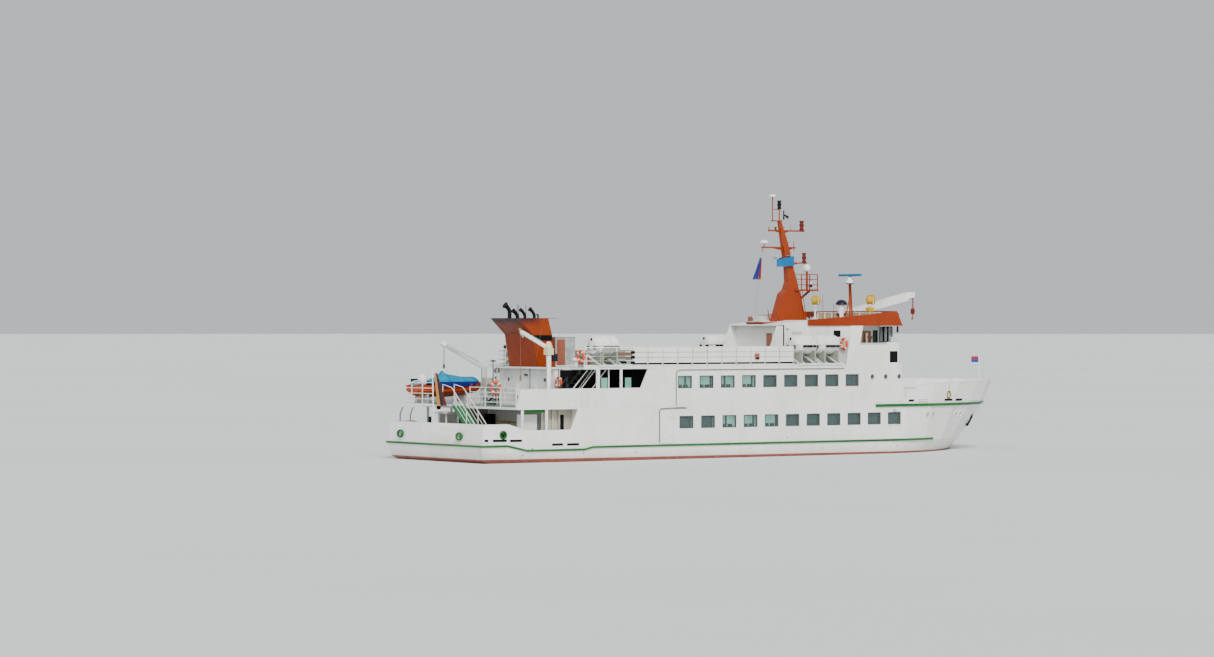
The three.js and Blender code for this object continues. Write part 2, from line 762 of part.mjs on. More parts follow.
function sternLanding() {
  const outline = [
    [UPPER_AFT - GAP, LANDING.inboard],
    [UPPER_AFT - GAP, LANDING.port],
    [LANDING.aft, LANDING.port],
    [LANDING.aft, LANDING.mid],
    [LANDING.step, LANDING.mid],
    [LANDING.step, LANDING.inboard],
  ];
  const under = LANDING.top - LANDING.thick;
  const floor = plan(outline, under, LANDING.top);
  const beam = box(UPPER_AFT - 200, UPPER_AFT - GAP, LANDING.inboard, LANDING.port, DECK_UNDER + GAP, under + 5);
  const foot = LANDING.top - 5;
  const [aft, port] = [LANDING.aft + 30, LANDING.port - 35];
  const aftRail = railAcross(LANDING.mid + 30, LANDING.port - 30, aft, foot, 1100, LANDING_BARS);
  const portRail = railAlong(aft + 5, UPPER_AFT - 40, port, foot, 1000, LANDING_BARS);
  const posts = [2700, 3780].flatMap((y) => [
    bar([-19365, y, TRANSOM_TOP + GAP], [-19365, y, 2500], 60),
    bar([-19365, y, 2470], [LANDING.aft + 60, y, under + 30], 60),
  ]);
  return join(floor, beam, aftRail, portRail, ...posts);
}

// Stairs that rise towards +X, between two side plates
function flight(x0, x1, y0, y1, z0, z1, count) {
  const slope = Math.atan2(z1 - z0, x1 - x0);
  const deep = 130 / Math.cos(slope);
  const side = [
    [x0, z0],
    [x0 + deep, z0],
    [x1, z1 - deep * Math.tan(slope)],
    [x1, z1],
  ];
  const plates = [
    [y0, y0 + 40],
    [y1 - 40, y1],
  ].map(([a, b]) => profile(side, a, b));
  const treads = Array.from({ length: count }, (_, i) => {
    const s = (i + 0.5) / count;
    const [x, z] = [x0 + (x1 - x0) * s, z0 + (z1 - z0) * s];
    return box(x - 60, x + 170, y0 + 20, y1 - 20, z - 70, z - 30);
  });
  return join(...plates, ...treads);
}

// A handrail beside a flight: three posts and a sloping bar
function handrail(x0, x1, y, z0, z1) {
  const foot = (s) => [x0 + (x1 - x0) * s, y, z0 + (z1 - z0) * s];
  const head = (s) => [x0 + (x1 - x0) * s, y, z0 + (z1 - z0) * s + 900];
  const posts = [0.12, 0.5, 0.88].map((s) => bar(foot(s), head(s), 36));
  return join(bar(head(0.04), head(0.96), 40), ...posts);
}

const STAIR = { foot: -13950, top: -11650, out: 3620, in: 2820 };

function deckStair() {
  const [y0, y1] = [-STAIR.out + 20, -STAIR.in - 20];
  const [z0, z1] = [UPPER_DECK + GAP, BOAT_DECK];
  const steps = flight(STAIR.foot, STAIR.top - GAP, y0, y1, z0, z1, 9);
  return join(steps, handrail(STAIR.foot, BOAT_DECK_AFT - 150, y0 + 20, z0 - 60, z0 + 760));
}

// The flight across the stern, from the landing down to the mooring deck
const STERN_STAIR = { foot: -2900, x0: -18370, x1: -17590 };

function sternStair() {
  const [z0, z1] = [MAIN_DECK + GAP, LANDING.top];
  const [y0, y1] = [STERN_STAIR.foot, LANDING.inboard - GAP];
  const steps = flight(y0, y1, STERN_STAIR.x0, STERN_STAIR.x1, z0, z1, 9);
  const rails = [STERN_STAIR.x0 + 20, STERN_STAIR.x1 - 20].map((x) => handrail(y0, y1, x, z0 - 60, z1 - 60));
  const g = geometryOf(join(steps, ...rails));
  g.applyMatrix4(new THREE.Matrix4().set(0, 1, 0, 0, 1, 0, 0, 0, 0, 0, 1, 0, 0, 0, 0, 1));
  return solid(g);
}

function canister(x, grow = 0) {
  const [r, h] = [RAFT.radius + grow, RAFT.half + grow];
  const outline = [
    [0, 0],
    [r - 90, 0],
    [r - 20, 70],
    [r, 160],
    [r, 2 * h - 160],
    [r - 20, 2 * h - 70],
    [r - 90, 2 * h],
    [0, 2 * h],
  ];
  return turned(outline, [x - h, -RAFT.y, RAFT.z], [x + h, -RAFT.y, RAFT.z], 20);
}

// The boat deck's side rail: open aft, closed by panels amidships, with the raft cradles inside it
function boatDeckRail() {
  const y = -HALF + 55;
  const z = BOAT_DECK;
  const top = RAIL_TOP - BOAT_DECK - 18;
  const open = railHoles(BOAT_DECK_AFT + 40, -9700, z, [110, 350, 600, 840, top], 1100);
  const slots = railHoles(-9700, 1400, z, [110, 245], 1010);
  const frame = rectangle(BOAT_DECK_AFT + 18, 1422, z + 3, RAIL_TOP);
  const toe = rectangle(1400, 5120, z + 5, z + 107);
  const holes = [...open, ...slots].map((hole) => profile(hole, y - 50, y + 50));
  const rail = join(cut(profile(frame, y - 20, y + 20), ...holes), profile(toe, y - 20, y + 20));
  const saddles = RAFTS.flatMap((x) => [x - 480, x + 480]).map((x) =>
    section(
      [
        [y, z + GAP],
        [-3650, z + GAP],
        [-3650, z + 90],
        [-3760, RAFT.z - 320],
        [-RAFT.y, RAFT.z - 100],
        [y + 3, RAFT.z - 330],
      ],
      x - 40,
      x + 40,
    ),
  );
  return cut(join(rail, ...saddles), ...RAFTS.map((x) => canister(x, 0.5)));
}

// The wheelhouse: walls that lean out at the front, with their windows and two doorways cut
function wheelhouseLoop(z, by) {
  const lean = ((z - BOAT_DECK) / (ROOF_UNDER - BOAT_DECK)) * 260;
  const half = [
    [WHEELHOUSE_AFT + GAP, WHEELHOUSE_HALF],
    [8600 + lean * 0.5, WHEELHOUSE_HALF],
    [9150 + lean, 2400],
  ];
  const outline = inset([...half, ...half.map(([x, y]) => [x, -y]).reverse()], by);
  return outline.map(([x, y]) => [x, y, z]);
}

function wheelhouse() {
  const outer = skinned([BOAT_DECK + GAP, ROOF_UNDER].map((z) => wheelhouseLoop(z, 0)));
  const inner = skinned([BOAT_DECK - 100, ROOF_UNDER + 100].map((z) => wheelhouseLoop(z, 80)));
  const [foot, head] = [6180, 7080];
  const front = [-1900, -950, 0, 950, 1900].map((y) => box(8900, 9700, y - 400, y + 400, foot, head));
  const sides = [
    [5550, 6350],
    [6500, 7250],
    [8260, 8550],
  ].flatMap(([x0, x1]) => bothSides(box(x0, x1, -3700, -3300, foot, head)));
  const corner = bar([8700, -2850, 0], [9300, -3150, 0], 780, 2 * (head - foot) - 900);
  const cornerWindow = solid(geometryOf(corner).translate(0, 0, (foot + head) / 2));
  const aftDoor = box(5200, 5500, 700, 1400, BOAT_DECK + 80, 7000);
  const walls = cut(outer, inner, ...front, ...sides, ...bothSides(cornerWindow), aftDoor);
  return join(cut(walls, ...doorway(BRIDGE_DOOR, 200)), ...hingeLugs(BRIDGE_DOOR));
}

function helmConsole() {
  const desk = profile(
    [
      [7850, BOAT_DECK + GAP],
      [8650, BOAT_DECK + GAP],
      [8750, 6000],
      [8500, 6180],
      [7700, 5980],
    ],
    -1700,
    1700,
  );
  const seats = [-800, 800].map((y) => box(6750, 7250, y - 260, y + 260, BOAT_DECK + GAP, 6250));
  const floor = box(6700, 8400, -1750, 1750, BOAT_DECK + GAP, BOAT_DECK + 60);
  return join(desk, floor, ...seats);
}

// One wing of the bridge: a raked pillar and bulwark outboard, a wall aft and one in front
function bridgeWing() {
  const outline = [
    [5160, BOAT_DECK + GAP],
    [9040, BOAT_DECK + GAP],
    [9040, 6420],
    [8150, 6420],
    [8150, 6300],
    [6160, 6300],
    [6400, ROOF_UNDER],
    [5570, ROOF_UNDER],
  ];
  const side = profile(outline, -HALF, -HALF + PLATE, [rectangle(8360, 8970, 5250, 5910)]);
  const front = box(8970, 9040, -HALF, -3080, BOAT_DECK + GAP, 6420);
  const aft = plan(
    [
      [4420, -DECKHOUSE_HALF - GAP],
      [5536, -HALF],
      [5612, -HALF],
      [4496, -DECKHOUSE_HALF - GAP],
    ],
    BOAT_DECK + GAP,
    ROOF_UNDER,
  );
  return join(side, front, cut(aft, box(4900, 5500, -4400, -3700, 6600, 7100)));
}

// The deckhouse under the mast, with its own sloping roof
const HOUSE_ROOF = [
  [2200, 7450],
  [4360, 7700],
];

function deckhouse() {
  const outline = [
    [DECKHOUSE_AFT, BOAT_DECK + GAP],
    [WHEELHOUSE_AFT, BOAT_DECK + GAP],
    [WHEELHOUSE_AFT, ROOF_UNDER],
    [HOUSE_ROOF[1][0] - GAP, ROOF_UNDER],
    [HOUSE_ROOF[1][0] - GAP, HOUSE_ROOF[1][1]],
    HOUSE_ROOF[0],
    [2200, ROOF_UNDER],
    [DECKHOUSE_AFT, ROOF_UNDER],
  ];
  return profile(outline, -DECKHOUSE_HALF, DECKHOUSE_HALF);
}

// The roof over the bridge, and the fascia that stands round it and leans aft in front
function roofLoop(lean) {
  const half = [
    [HOUSE_ROOF[1][0], DECKHOUSE_HALF + 50],
    [5470, HALF],
    [9330 - lean, HALF],
    [9800 - lean, 2600],
  ];
  return [...half, ...half.map(([x, y]) => [x, -y]).reverse()];
}

function bridgeRoof() {
  return plan(inset(roofLoop(0), 60 + 2 * GAP), ROOF_UNDER + GAP, ROOF);
}

function fascia() {
  const level = (z, by) => {
    const lean = ((z - ROOF_UNDER) / (VISOR_TOP - ROOF_UNDER)) * 460;
    return inset(roofLoop(Math.max(0, lean)), by).map(([x, y]) => [x, y, z]);
  };
  const lip = ROOF + 20;
  const outer = skinned([level(ROOF_UNDER + GAP, 0), level(lip, 0), level(VISOR_TOP, 0)]);
  const straight = inset(roofLoop(0), 60);
  const well = plan(straight, ROOF_UNDER - 50, lip);
  const inner = skinned([level(lip - 1, 60), level(VISOR_TOP + 60, 60)]);
  const above = profile(
    [
      [4000, 7640],
      [5470, 7910],
      [8910, 8220],
      [10100, 8260],
      [10100, 9000],
      [4000, 9000],
    ],
    -5200,
    5200,
  );
  const aftGap = box(4200, 4600, -DECKHOUSE_HALF - 60, DECKHOUSE_HALF + 60, 7000, 9000);
  return cut(outer, well, inner, above, aftGap);
}

// The mast: a flat tapered trunk on the centreline, waisted under its platform
function mastTrunk(grow = 0) {
  const rows = MAST_LEVELS.map(({ z, aft, fore, half }) =>
    withMirror([
      [aft - grow, half + grow, z],
      [fore + grow, half + grow, z],
    ]),
  );
  return skinned(rows);
}

// What lies under the mast: the deckhouse's sloping roof and the bridge roof
function underMast() {
  const [[x0, z0], [x1, z1]] = HOUSE_ROOF;
  const foot = (x) => z0 + ((x - x0) / (x1 - x0)) * (z1 - z0) + 2 * GAP;
  const [aft, step, fore] = [3000, x1 + 10, 6200];
  return profile(
    [
      [aft, 7000],
      [fore, 7000],
      [fore, ROOF + 2 * GAP],
      [step, ROOF + 2 * GAP],
      [step, foot(step)],
      [aft, foot(aft)],
    ],
    -500,
    500,
  );
}

// Yards along the ship: aft and fore end, height, thickness
const YARDS = [
  { aft: 3290, fore: 5900, z: 12900, thick: 90 },
  { aft: 2800, fore: 5250, z: 11920, thick: 90 },
  { aft: 4700, fore: 6100, z: 11030, thick: 80 },
];

// Lamps, aerials and poles on the mast: place along the ship, foot, head, radius and radius of the head
const MAST_FITTINGS = [
  { x: 5720, foot: 12900, head: 13500, radius: 110, top: 110 },
  { x: 5900, foot: 11030, head: 11620, radius: 100, top: 100 },
  { x: 2970, foot: 11920, head: 12150, radius: 30, top: 30 },
  { x: 2970, foot: 12140, head: 12330, radius: 240, top: 130 },
  { x: 4080, foot: 13440, head: 14160, radius: 40, top: 40 },
  { x: 4080, foot: 14150, head: 14650, radius: 95, top: 95 },
  { x: 3590, foot: 13420, head: 14860, radius: 32, top: 32 },
  { x: 3590, foot: 14850, head: 14990, radius: 225, top: 150 },
];

function mast() {
  const trunk = cut(mastTrunk(), underMast());
  const yards = YARDS.map(({ aft, fore, z, thick }) => bar([aft, 0, z], [fore, 0, z], thick));
  const cap = box(3560, 4250, -130, 130, 13440, 13500);
  const tie = bar([3590, 0, 14130], [4080, 0, 14130], 36);
  const fittings = MAST_FITTINGS.map(({ x, foot, head, radius, top }) =>
    rod([x, 0, foot], [x, 0, head], radius, radius > 150 ? 14 : 10, top),
  );
  return join(trunk, ...yards, cap, tie, ...fittings);
}

// The platform on the mast's fore side, with its rail and the post of the aerial's dome
const PLATFORM = { fore: 6600, half: 380, foot: 9400, top: 9470, bars: [20, 310, 620, 910] };
const DOME = { x: 6110, foot: 10560, head: 10960, radius: 220 };

function mastPlatform() {
  const { fore, half, foot, top, bars } = PLATFORM;
  const floor = box(5000, fore + 60, -half - 30, half + 30, foot, top);
  const rails = [-half, half].map((y) => railAlong(5420, fore, y, top - 10, 600, bars));
  const front = railAcross(-half + 10, half - 10, fore + 10, top - 13, 800, bars);
  const brace = bar([5300, 0, 8700], [6300, 0, foot + 20], 80, 120);
  const post = rod([DOME.x, 0, top - 10], [DOME.x, 0, DOME.foot + 10], 65, 10);
  const dome = turned(
    [
      [0, 0],
      [DOME.radius - 40, 0],
      [DOME.radius, 90],
      [DOME.radius, 210],
      [DOME.radius * 0.75, 330],
      [0, 400],
    ],
    [DOME.x, 0, DOME.foot],
    [DOME.x, 0, DOME.head],
    14,
  );
  return cut(join(floor, ...rails, front, brace, post, dome), mastTrunk(0.5));
}

// The radar's post leans a little aft; its head carries the scanner
function radarPost() {
  const { x, y, turn } = RADAR;
  const foot = box(x - 520, x + 260, y - 140, y + 140, ROOF + GAP, ROOF + 50);
  const leg = rod([x + 110, y, ROOF + 30], [x, y, turn - 400], 125, 10, 85);
  const stay = rod([x - 420, y, ROOF + 30], [x + 40, y, turn - 1000], 40, 8);
  const flange = rod([x, y, turn - 410], [x, y, turn - 360], 220, 12);
  const head = rod([x, y, turn - 365], [x, y, turn - 150], 230, 12, 170);
  return join(foot, leg, stay, flange, head, rod([x, y, turn - 160], [x, y, turn], 120, 12));
}

function radarScanner() {
  const { x, y, turn } = RADAR;
  const hub = rod([x, y, turn + GAP], [x, y, turn + 60], 100, 12);
  return join(hub, box(x - 75, x + 75, y - 1000, y + 1000, turn + 40, turn + 170));
}

function searchlight() {
  const [x, y] = [8740, -2600];
  const post = rod([x, y, ROOF + GAP], [x, y, 8700], 45, 8);
  const lamp = turned(
    [
      [0, 0],
      [150, 0],
      [260, 160],
      [275, 420],
      [0, 420],
    ],
    [x - 210, y, 8880],
    [x + 210, y, 8880],
    14,
  );
  return join(post, lamp);
}

function compass() {
  const x = 8680;
  const stand = rod([x, 0, ROOF + GAP], [x, 0, 8640], 200, 12);
  const hood = turned(
    [
      [0, 0],
      [330, 0],
      [310, 90],
      [190, 210],
      [0, 250],
    ],
    [x, 0, 8630],
    [x, 0, 8880],
    14,
  );
  return join(stand, hood);
}

// Foredeck crane: a pedestal, a post that turns on it, a jib and the hook under its tip
function craneHeading() {
  const [tx, ty] = CRANE.tip;
  const along = new THREE.Vector2(tx - CRANE.x, ty - CRANE.y);
  return { along: along.clone().normalize(), reach: along.length() };
}

function cranePoint(out, z) {
  const { along } = craneHeading();
  return [CRANE.x + along.x * out, CRANE.y + along.y * out, z];
}

// A point beside the jib: its way out along it, and its way across
function beside(out, across, z) {
  const { along } = craneHeading();
  const [x, y] = cranePoint(out, z);
  return [x - along.y * across, y + along.x * across, z];
}

function cranePost() {
  const { x, y, turn, pivot } = CRANE;
  const post = rod([x, y, turn + GAP], [x, y, pivot - 380], 330, 14, 290);
  const cheeks = [-CRANE_CHEEK, CRANE_CHEEK].map((side) =>
    bar(beside(-260, side, pivot - 80), beside(260, side, pivot - 80), 60, 740),
  );
  const head = bar(cranePoint(-250, pivot - 420), cranePoint(250, pivot - 420), 2 * CRANE_CHEEK, 80);
  const winch = bar(cranePoint(-620, 6200), cranePoint(-250, 6200), 500, 420);
  return join(post, ...cheeks, head, winch);
}

function craneJib() {
  const { reach } = craneHeading();
  const { pivot, tip } = CRANE;
  const rise = (out) => pivot + ((tip[2] - pivot) * out) / reach;
  const boom = bar(cranePoint(-200, rise(-200)), cranePoint(reach - 230, rise(reach - 230)), 480, 500);
  const nose = bar(cranePoint(reach - 400, tip[2]), cranePoint(reach + 130, tip[2]), 200, CRANE.nose);
  const pin = rod(beside(0, CRANE_CHEEK - 30 - GAP, pivot), beside(0, 30 + GAP - CRANE_CHEEK, pivot), 80, 12);
  return join(boom, nose, pin);
}

// The hook hangs from a round pin that turns under the nose of the jib
function craneHook() {
  const { reach } = craneHeading();
  const tip = CRANE.tip[2];
  const axis = tip - CRANE.nose / 2 - HOOK_PIN - GAP;
  const pin = rod(beside(reach, -75, axis), beside(reach, 75, axis), HOOK_PIN, 16);
  const wires = [reach - 30, reach + 30].map((out) =>
    rod(cranePoint(out, axis - 20), cranePoint(out, tip - 810), 16, 6),
  );
  const block = bar(cranePoint(reach - 110, tip - 970), cranePoint(reach + 110, tip - 970), 180, 360);
  const shank = rod(cranePoint(reach, tip - 1130), cranePoint(reach, tip - 1390), 30, 8);
  const claw = bar(cranePoint(reach - 100, tip - 1410), cranePoint(reach + 30, tip - 1410), 50, 80);
  return join(pin, ...wires, block, shank, claw);
}

// Stern davit for the rescue boat, and the small davit on the starboard side
function davitArm() {
  const { x, y, turn, knee, tip } = DAVIT;
  const post = rod([x, y, turn + GAP], [x, y, knee], 150, 12);
  const arm = bar([x, y, knee - 60], tip, 230, 260);
  const fall = rod([tip[0], tip[1], tip[2]], [tip[0], tip[1], 5100], 12, 6);
  const hook = rod([tip[0], tip[1], 5180], [tip[0], tip[1], 4960], 45, 8);
  return join(post, arm, fall, hook);
}

function davitPedestal() {
  const { x, y, turn } = DAVIT;
  const base = rod([x, y, UPPER_DECK + GAP], [x, y, turn], 230, 14, 190);
  const winch = box(x - 260, x + 260, y - 620, y - 150, UPPER_DECK + 500, UPPER_DECK + 950);
  return join(base, winch);
}

function sideDavit() {
  const { x, y, knee, tip } = SIDE_DAVIT;
  const post = rod([x, y, UPPER_DECK + GAP], [x, y, knee], 140, 12);
  const arm = bar([x, y, knee - 50], tip, 190, 210);
  const fall = rod([tip[0], tip[1], tip[2]], [tip[0], tip[1], 4600], 10, 6);
  const weight = rod([tip[0], tip[1], 4700], [tip[0], tip[1], 4400], 50, 8);
  return join(post, arm, fall, weight);
}

// Rescue boat: stations along it with half breadth and keel height, then its cover
const BOAT_STATIONS = [
  { x: -19040, half: 700, keel: 3540, top: 4100 },
  { x: -18400, half: 860, keel: 3450, top: 4090 },
  { x: -17000, half: 920, keel: 3420, top: 4090 },
  { x: -15600, half: 720, keel: 3520, top: 4160 },
  { x: -14900, half: 330, keel: 3700, top: 4220 },
  { x: -14620, half: 60, keel: 3900, top: 4250 },
];

function boatHull(grow = 0) {
  const rows = BOAT_STATIONS.map(({ x, half, keel, top }) => {
    const wide = half + grow;
    const chine = keel + (top - keel) * 0.42;
    const side = [
      [0.12 * wide, keel - grow],
      [0.86 * wide, chine - grow],
      [wide, top],
    ];
    const ring = [...side, ...side.map(([y, z]) => [-y, z]).reverse()];
    return ring.map(([y, z]) => [x, BOAT_Y + y, z]);
  });
  return skinned(rows);
}

function boatCover() {
  const ridge = [4330, 4560, 4880, 4560, 4420, 4330];
  const rows = BOAT_STATIONS.map(({ x, half, top }, i) => {
    const side = [
      [half - 10, top + GAP],
      [half * 0.8, top + (ridge[i] - top) * 0.45],
      [half * 0.12, ridge[i]],
    ];
    const ring = [...side, ...side.map(([y, z]) => [-y, z]).reverse()];
    return ring.map(([y, z]) => [x, BOAT_Y + y, z]);
  });
  return skinned(rows);
}

// The boat's chocks, one on the landing and one on the deck, a step below it
function boatChocks() {
  const foot = LANDING.top + GAP;
  const keelson = box(-18500, -15700, BOAT_Y - 60, BOAT_Y + 60, foot, foot + 90);
  const sole = box(UPPER_AFT + 50, -15700, BOAT_Y - 200, BOAT_Y + 200, UPPER_DECK + GAP, foot + 5);
  const chocks = [-18400, -15800].map((x) =>
    section(
      [
        [BOAT_Y - 520, foot],
        [BOAT_Y + 520, foot],
        [BOAT_Y + 640, 3640],
        [BOAT_Y - 640, 3640],
      ],
      x - 50,
      x + 50,
    ),
  );
  return cut(join(keelson, sole, ...chocks), boatHull(0.6));
}

function rudder() {
  const { x, aft, fore, foot, head } = RUDDER;
  const blade = plan(
    [
      [fore, -SHAFT_Y - 20],
      [x, -SHAFT_Y - 65],
      [aft, -SHAFT_Y - 8],
      [aft, -SHAFT_Y + 8],
      [x, -SHAFT_Y + 65],
      [fore, -SHAFT_Y + 20],
    ],
    foot,
    head,
  );
  return join(blade, rod([x, -SHAFT_Y, head - 10], [x, -SHAFT_Y, head + 80], 60, 10));
}

function propeller() {
  const { x, radius, blades } = PROPELLER;
  const hub = turned(
    [
      [0, 0],
      [60, 0],
      [110, 90],
      [115, 240 - GAP],
      [0, 240 - GAP],
    ],
    [x - 120, -SHAFT_Y, SHAFT_Z],
    [x + 120 - GAP, -SHAFT_Y, SHAFT_Z],
    12,
  );
  const blade = new THREE.CylinderGeometry(1, 1, 26, 14).scale(0.5 * (radius - 60), 1, 170);
  blade.rotateZ(Math.PI / 2);
  const ring = Array.from({ length: blades }, (_, i) => {
    const g = blade.clone().rotateY(0.5).translate(0, 60 + 0.5 * (radius - 60), 0);
    g.rotateX((i * 2 * Math.PI) / blades);
    return solid(g.translate(x, -SHAFT_Y, SHAFT_Z));
  });
  return join(hub, ...ring);
}

function windlass() {
  const base = box(15200, 16000, -900, 900, UPPER_DECK + GAP, UPPER_DECK + 120);
  const drums = rod([15600, -1150, 3400], [15600, 1150, 3400], 210, 14);
  const cheeks = [-700, 700].map((y) => box(15350, 15850, y - 60, y + 60, UPPER_DECK + 100, 3560));
  return join(base, drums, ...cheeks);
}

// The ship, piece by piece
piece("hull", hull(), PAINT.white);
piece("lower_saloon", lowerSaloon(), PAINT.white);
piece("forecastle", forecastle(), PAINT.white);
piece("upper_deck", upperDeck(), PAINT.deck);
piece("upper_saloon", upperSaloon(), PAINT.white);
piece("stern_bulwark", sternBulwark(), PAINT.white);
pair("side_screen", sideScreen(), PAINT.white);
piece("bow_bulwark", bowBulwark(), PAINT.white);
piece("rubbing_strake", rubbingStrake(), PAINT.green);
piece("bow_strake", bowStrake(), PAINT.green);
piece("boat_deck", boatDeck(), PAINT.white);
piece("aft_house", aftHouse(), PAINT.white);
piece("funnel", funnel(), PAINT.orange);
piece("exhaust_pipes", exhaustPipes(), PAINT.black);
piece("stern_rail", railAcross(-4750, LANDING.inboard - 60, STERN_RAIL, UPPER_DECK), PAINT.white);
piece("stern_landing", sternLanding(), PAINT.white);
pair("boat_deck_rail", boatDeckRail(), PAINT.white);
RAFTS.forEach((x, i) => pair(`life_raft_${i + 1}`, canister(x), PAINT.white));
piece("wheelhouse", wheelhouse(), PAINT.white);
piece("console", helmConsole(), PAINT.grey);
pair("bridge_wing", bridgeWing(), PAINT.white);
piece("deckhouse", deckhouse(), PAINT.white);
piece("bridge_roof", bridgeRoof(), PAINT.grey);
piece("fascia", fascia(), PAINT.orange);
piece("mast", mast(), PAINT.orange);
piece("mast_platform", mastPlatform(), PAINT.orange);
piece("radar_post", radarPost(), PAINT.orange);
piece("radar_scanner", radarScanner(), PAINT.blue);
pair("searchlight", searchlight(), PAINT.yellow);
piece("compass", compass(), PAINT.black);
piece("crane_post", cranePost(), PAINT.white);
piece("crane_jib", craneJib(), PAINT.white);
piece("crane_hook", craneHook(), PAINT.orange);
piece("davit_pedestal", davitPedestal(), PAINT.grey);
piece("davit_arm", davitArm(), PAINT.white);
piece("side_davit", sideDavit(), PAINT.white);
piece("rescue_boat", boatHull(), PAINT.boat);
piece("boat_cover", boatCover(), PAINT.cover);
piece("boat_chocks", boatChocks(), PAINT.grey);
pair("deck_stair", deckStair(), PAINT.white);
piece("stern_stair", sternStair(), PAINT.green);
pair("propeller", propeller(), PAINT.bronze);
pair("rudder", rudder(), PAINT.black);
pair("shell_door", hungDoor(SHELL_DOOR), PAINT.white);
pair("bridge_door", hungDoor(BRIDGE_DOOR, [6150, 6850]), PAINT.wood);
piece("windlass", windlass(), PAINT.green);

export default ferry;
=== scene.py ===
import json
import math

import bmesh
import bpy
from mathutils import Matrix, Vector
from mathutils.bvhtree import BVHTree


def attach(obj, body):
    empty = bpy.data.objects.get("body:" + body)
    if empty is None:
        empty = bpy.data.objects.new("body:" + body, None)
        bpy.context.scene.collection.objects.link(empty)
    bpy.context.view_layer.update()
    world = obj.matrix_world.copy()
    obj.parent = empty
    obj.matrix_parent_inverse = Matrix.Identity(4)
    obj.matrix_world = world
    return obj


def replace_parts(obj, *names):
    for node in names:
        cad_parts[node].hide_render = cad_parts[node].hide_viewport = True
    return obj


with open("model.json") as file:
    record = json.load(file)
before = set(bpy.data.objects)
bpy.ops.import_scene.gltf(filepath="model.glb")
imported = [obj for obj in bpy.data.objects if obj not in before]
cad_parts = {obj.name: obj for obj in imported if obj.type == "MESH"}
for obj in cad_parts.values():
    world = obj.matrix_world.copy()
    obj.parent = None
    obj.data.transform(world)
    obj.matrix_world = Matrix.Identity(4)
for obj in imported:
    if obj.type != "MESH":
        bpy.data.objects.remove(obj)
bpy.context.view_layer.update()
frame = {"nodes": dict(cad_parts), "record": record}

# Heights and breadths of the ship, in metres above the waterline and from the centreline
HALF = 4.9
MAIN_DECK = 0.72
UPPER_DECK = 2.95
BOAT_DECK = 5.11
RAIL_TOP = 6.19
ROOF = 7.45
SIDES = (-1, 1)

# Saloon windows: middle of the first, pitch, how many, height of the middle
LOWER_ROW = {"first": -6.11, "pitch": 1.48, "count": 11, "z": 2.04}
UPPER_ROW = {"first": -6.21, "pitch": 1.475, "count": 9, "z": 4.26}
WINDOW = {"wide": 0.90, "high": 0.64, "deep": 0.26}

RAFTS = {"x": (-11.20, 2.50, 4.15), "y": 4.19, "z": 6.30, "radius": 0.56, "half": 0.80}
BENCHES = {"x": (-8.2, -5.9, -3.6, -1.3), "y": (-1.95, 1.95), "half": 1.45}

# Breadths of the funnel, the heads of the raft ramps and the boat's middle, and the pitch of chain links
FUNNEL_HALF = 1.43
RAMP_HEAD = 3.6
BOAT_Y = 3.0
CHAIN_PITCH = 0.105

# Bridge: middle and height of its panes, and where a searchlight, the compass and the radar stand
PANE_MIDDLE, PANE_HIGH = 6.63, 0.9
SEARCHLIGHT = (8.74, 2.6, 8.88)
COMPASS_X = 8.68
RADAR_X, RADAR_Y = 8.85, -0.58

# Cranes and davits: foot and tip of each arm
CRANE_FOOT, CRANE_TIP = Vector((11.2, 3.4, 7.95)), Vector((14.1, 0, 9.2))
DAVIT_KNEE, DAVIT_TIP = Vector((-15.0, 2.0, 5.04)), Vector((-17.0, 3.0, 6.36))
SIDE_DAVIT_HEAD, SIDE_DAVIT_TIP = Vector((-14.8, -4.2, 6.2)), Vector((-16.1, -3.4, 7.07))

# Port lights and outlets along the side: length and height of each
PORT_LIGHTS = [(7.05, 4.44), (8.04, 4.44), (9.04, 4.44)]
PORT_LIGHTS += [(11.33, 2.2), (11.87, 2.2), (14.18, 2.2), (14.66, 2.2)]
OUTLETS = [(-16.9, 0.42), (-13.0, 0.45), (-9.5, 0.45), (-1.7, 0.5), (3.4, 0.42), (8.9, 0.45), (-16.3, 0.75)]
OUTLETS += [(0.9, 1.05)]
# Freeing ports: both ends and the height of each
FREEING_PORTS = [
    (-19.36, -19.12, 1.24),
    (-18.83, -17.94, 1.23),
    (-17.75, -16.98, 1.21),
    (-15.05, -14.34, 0.96),
    (-14.08, -13.29, 0.95),
    (9.78, 10.2, 3.04),
    (12.72, 13.46, 3.04),
    (13.72, 14.48, 3.03),
]

# The bow bulwark's sheer as (length, height), and the mast's fore edge as (height, length)
SHEER = [(9.5, 3.89), (12.7, 4.05), (16.9, 4.11), (20.3, 4.10)]
MAST_EDGE = [(7.3, 5.96), (9.24, 5.39), (9.48, 5.31), (9.95, 5.22), (10.75, 4.975)]
MAST_EDGE += [(12.15, 4.63), (13.47, 4.15)]

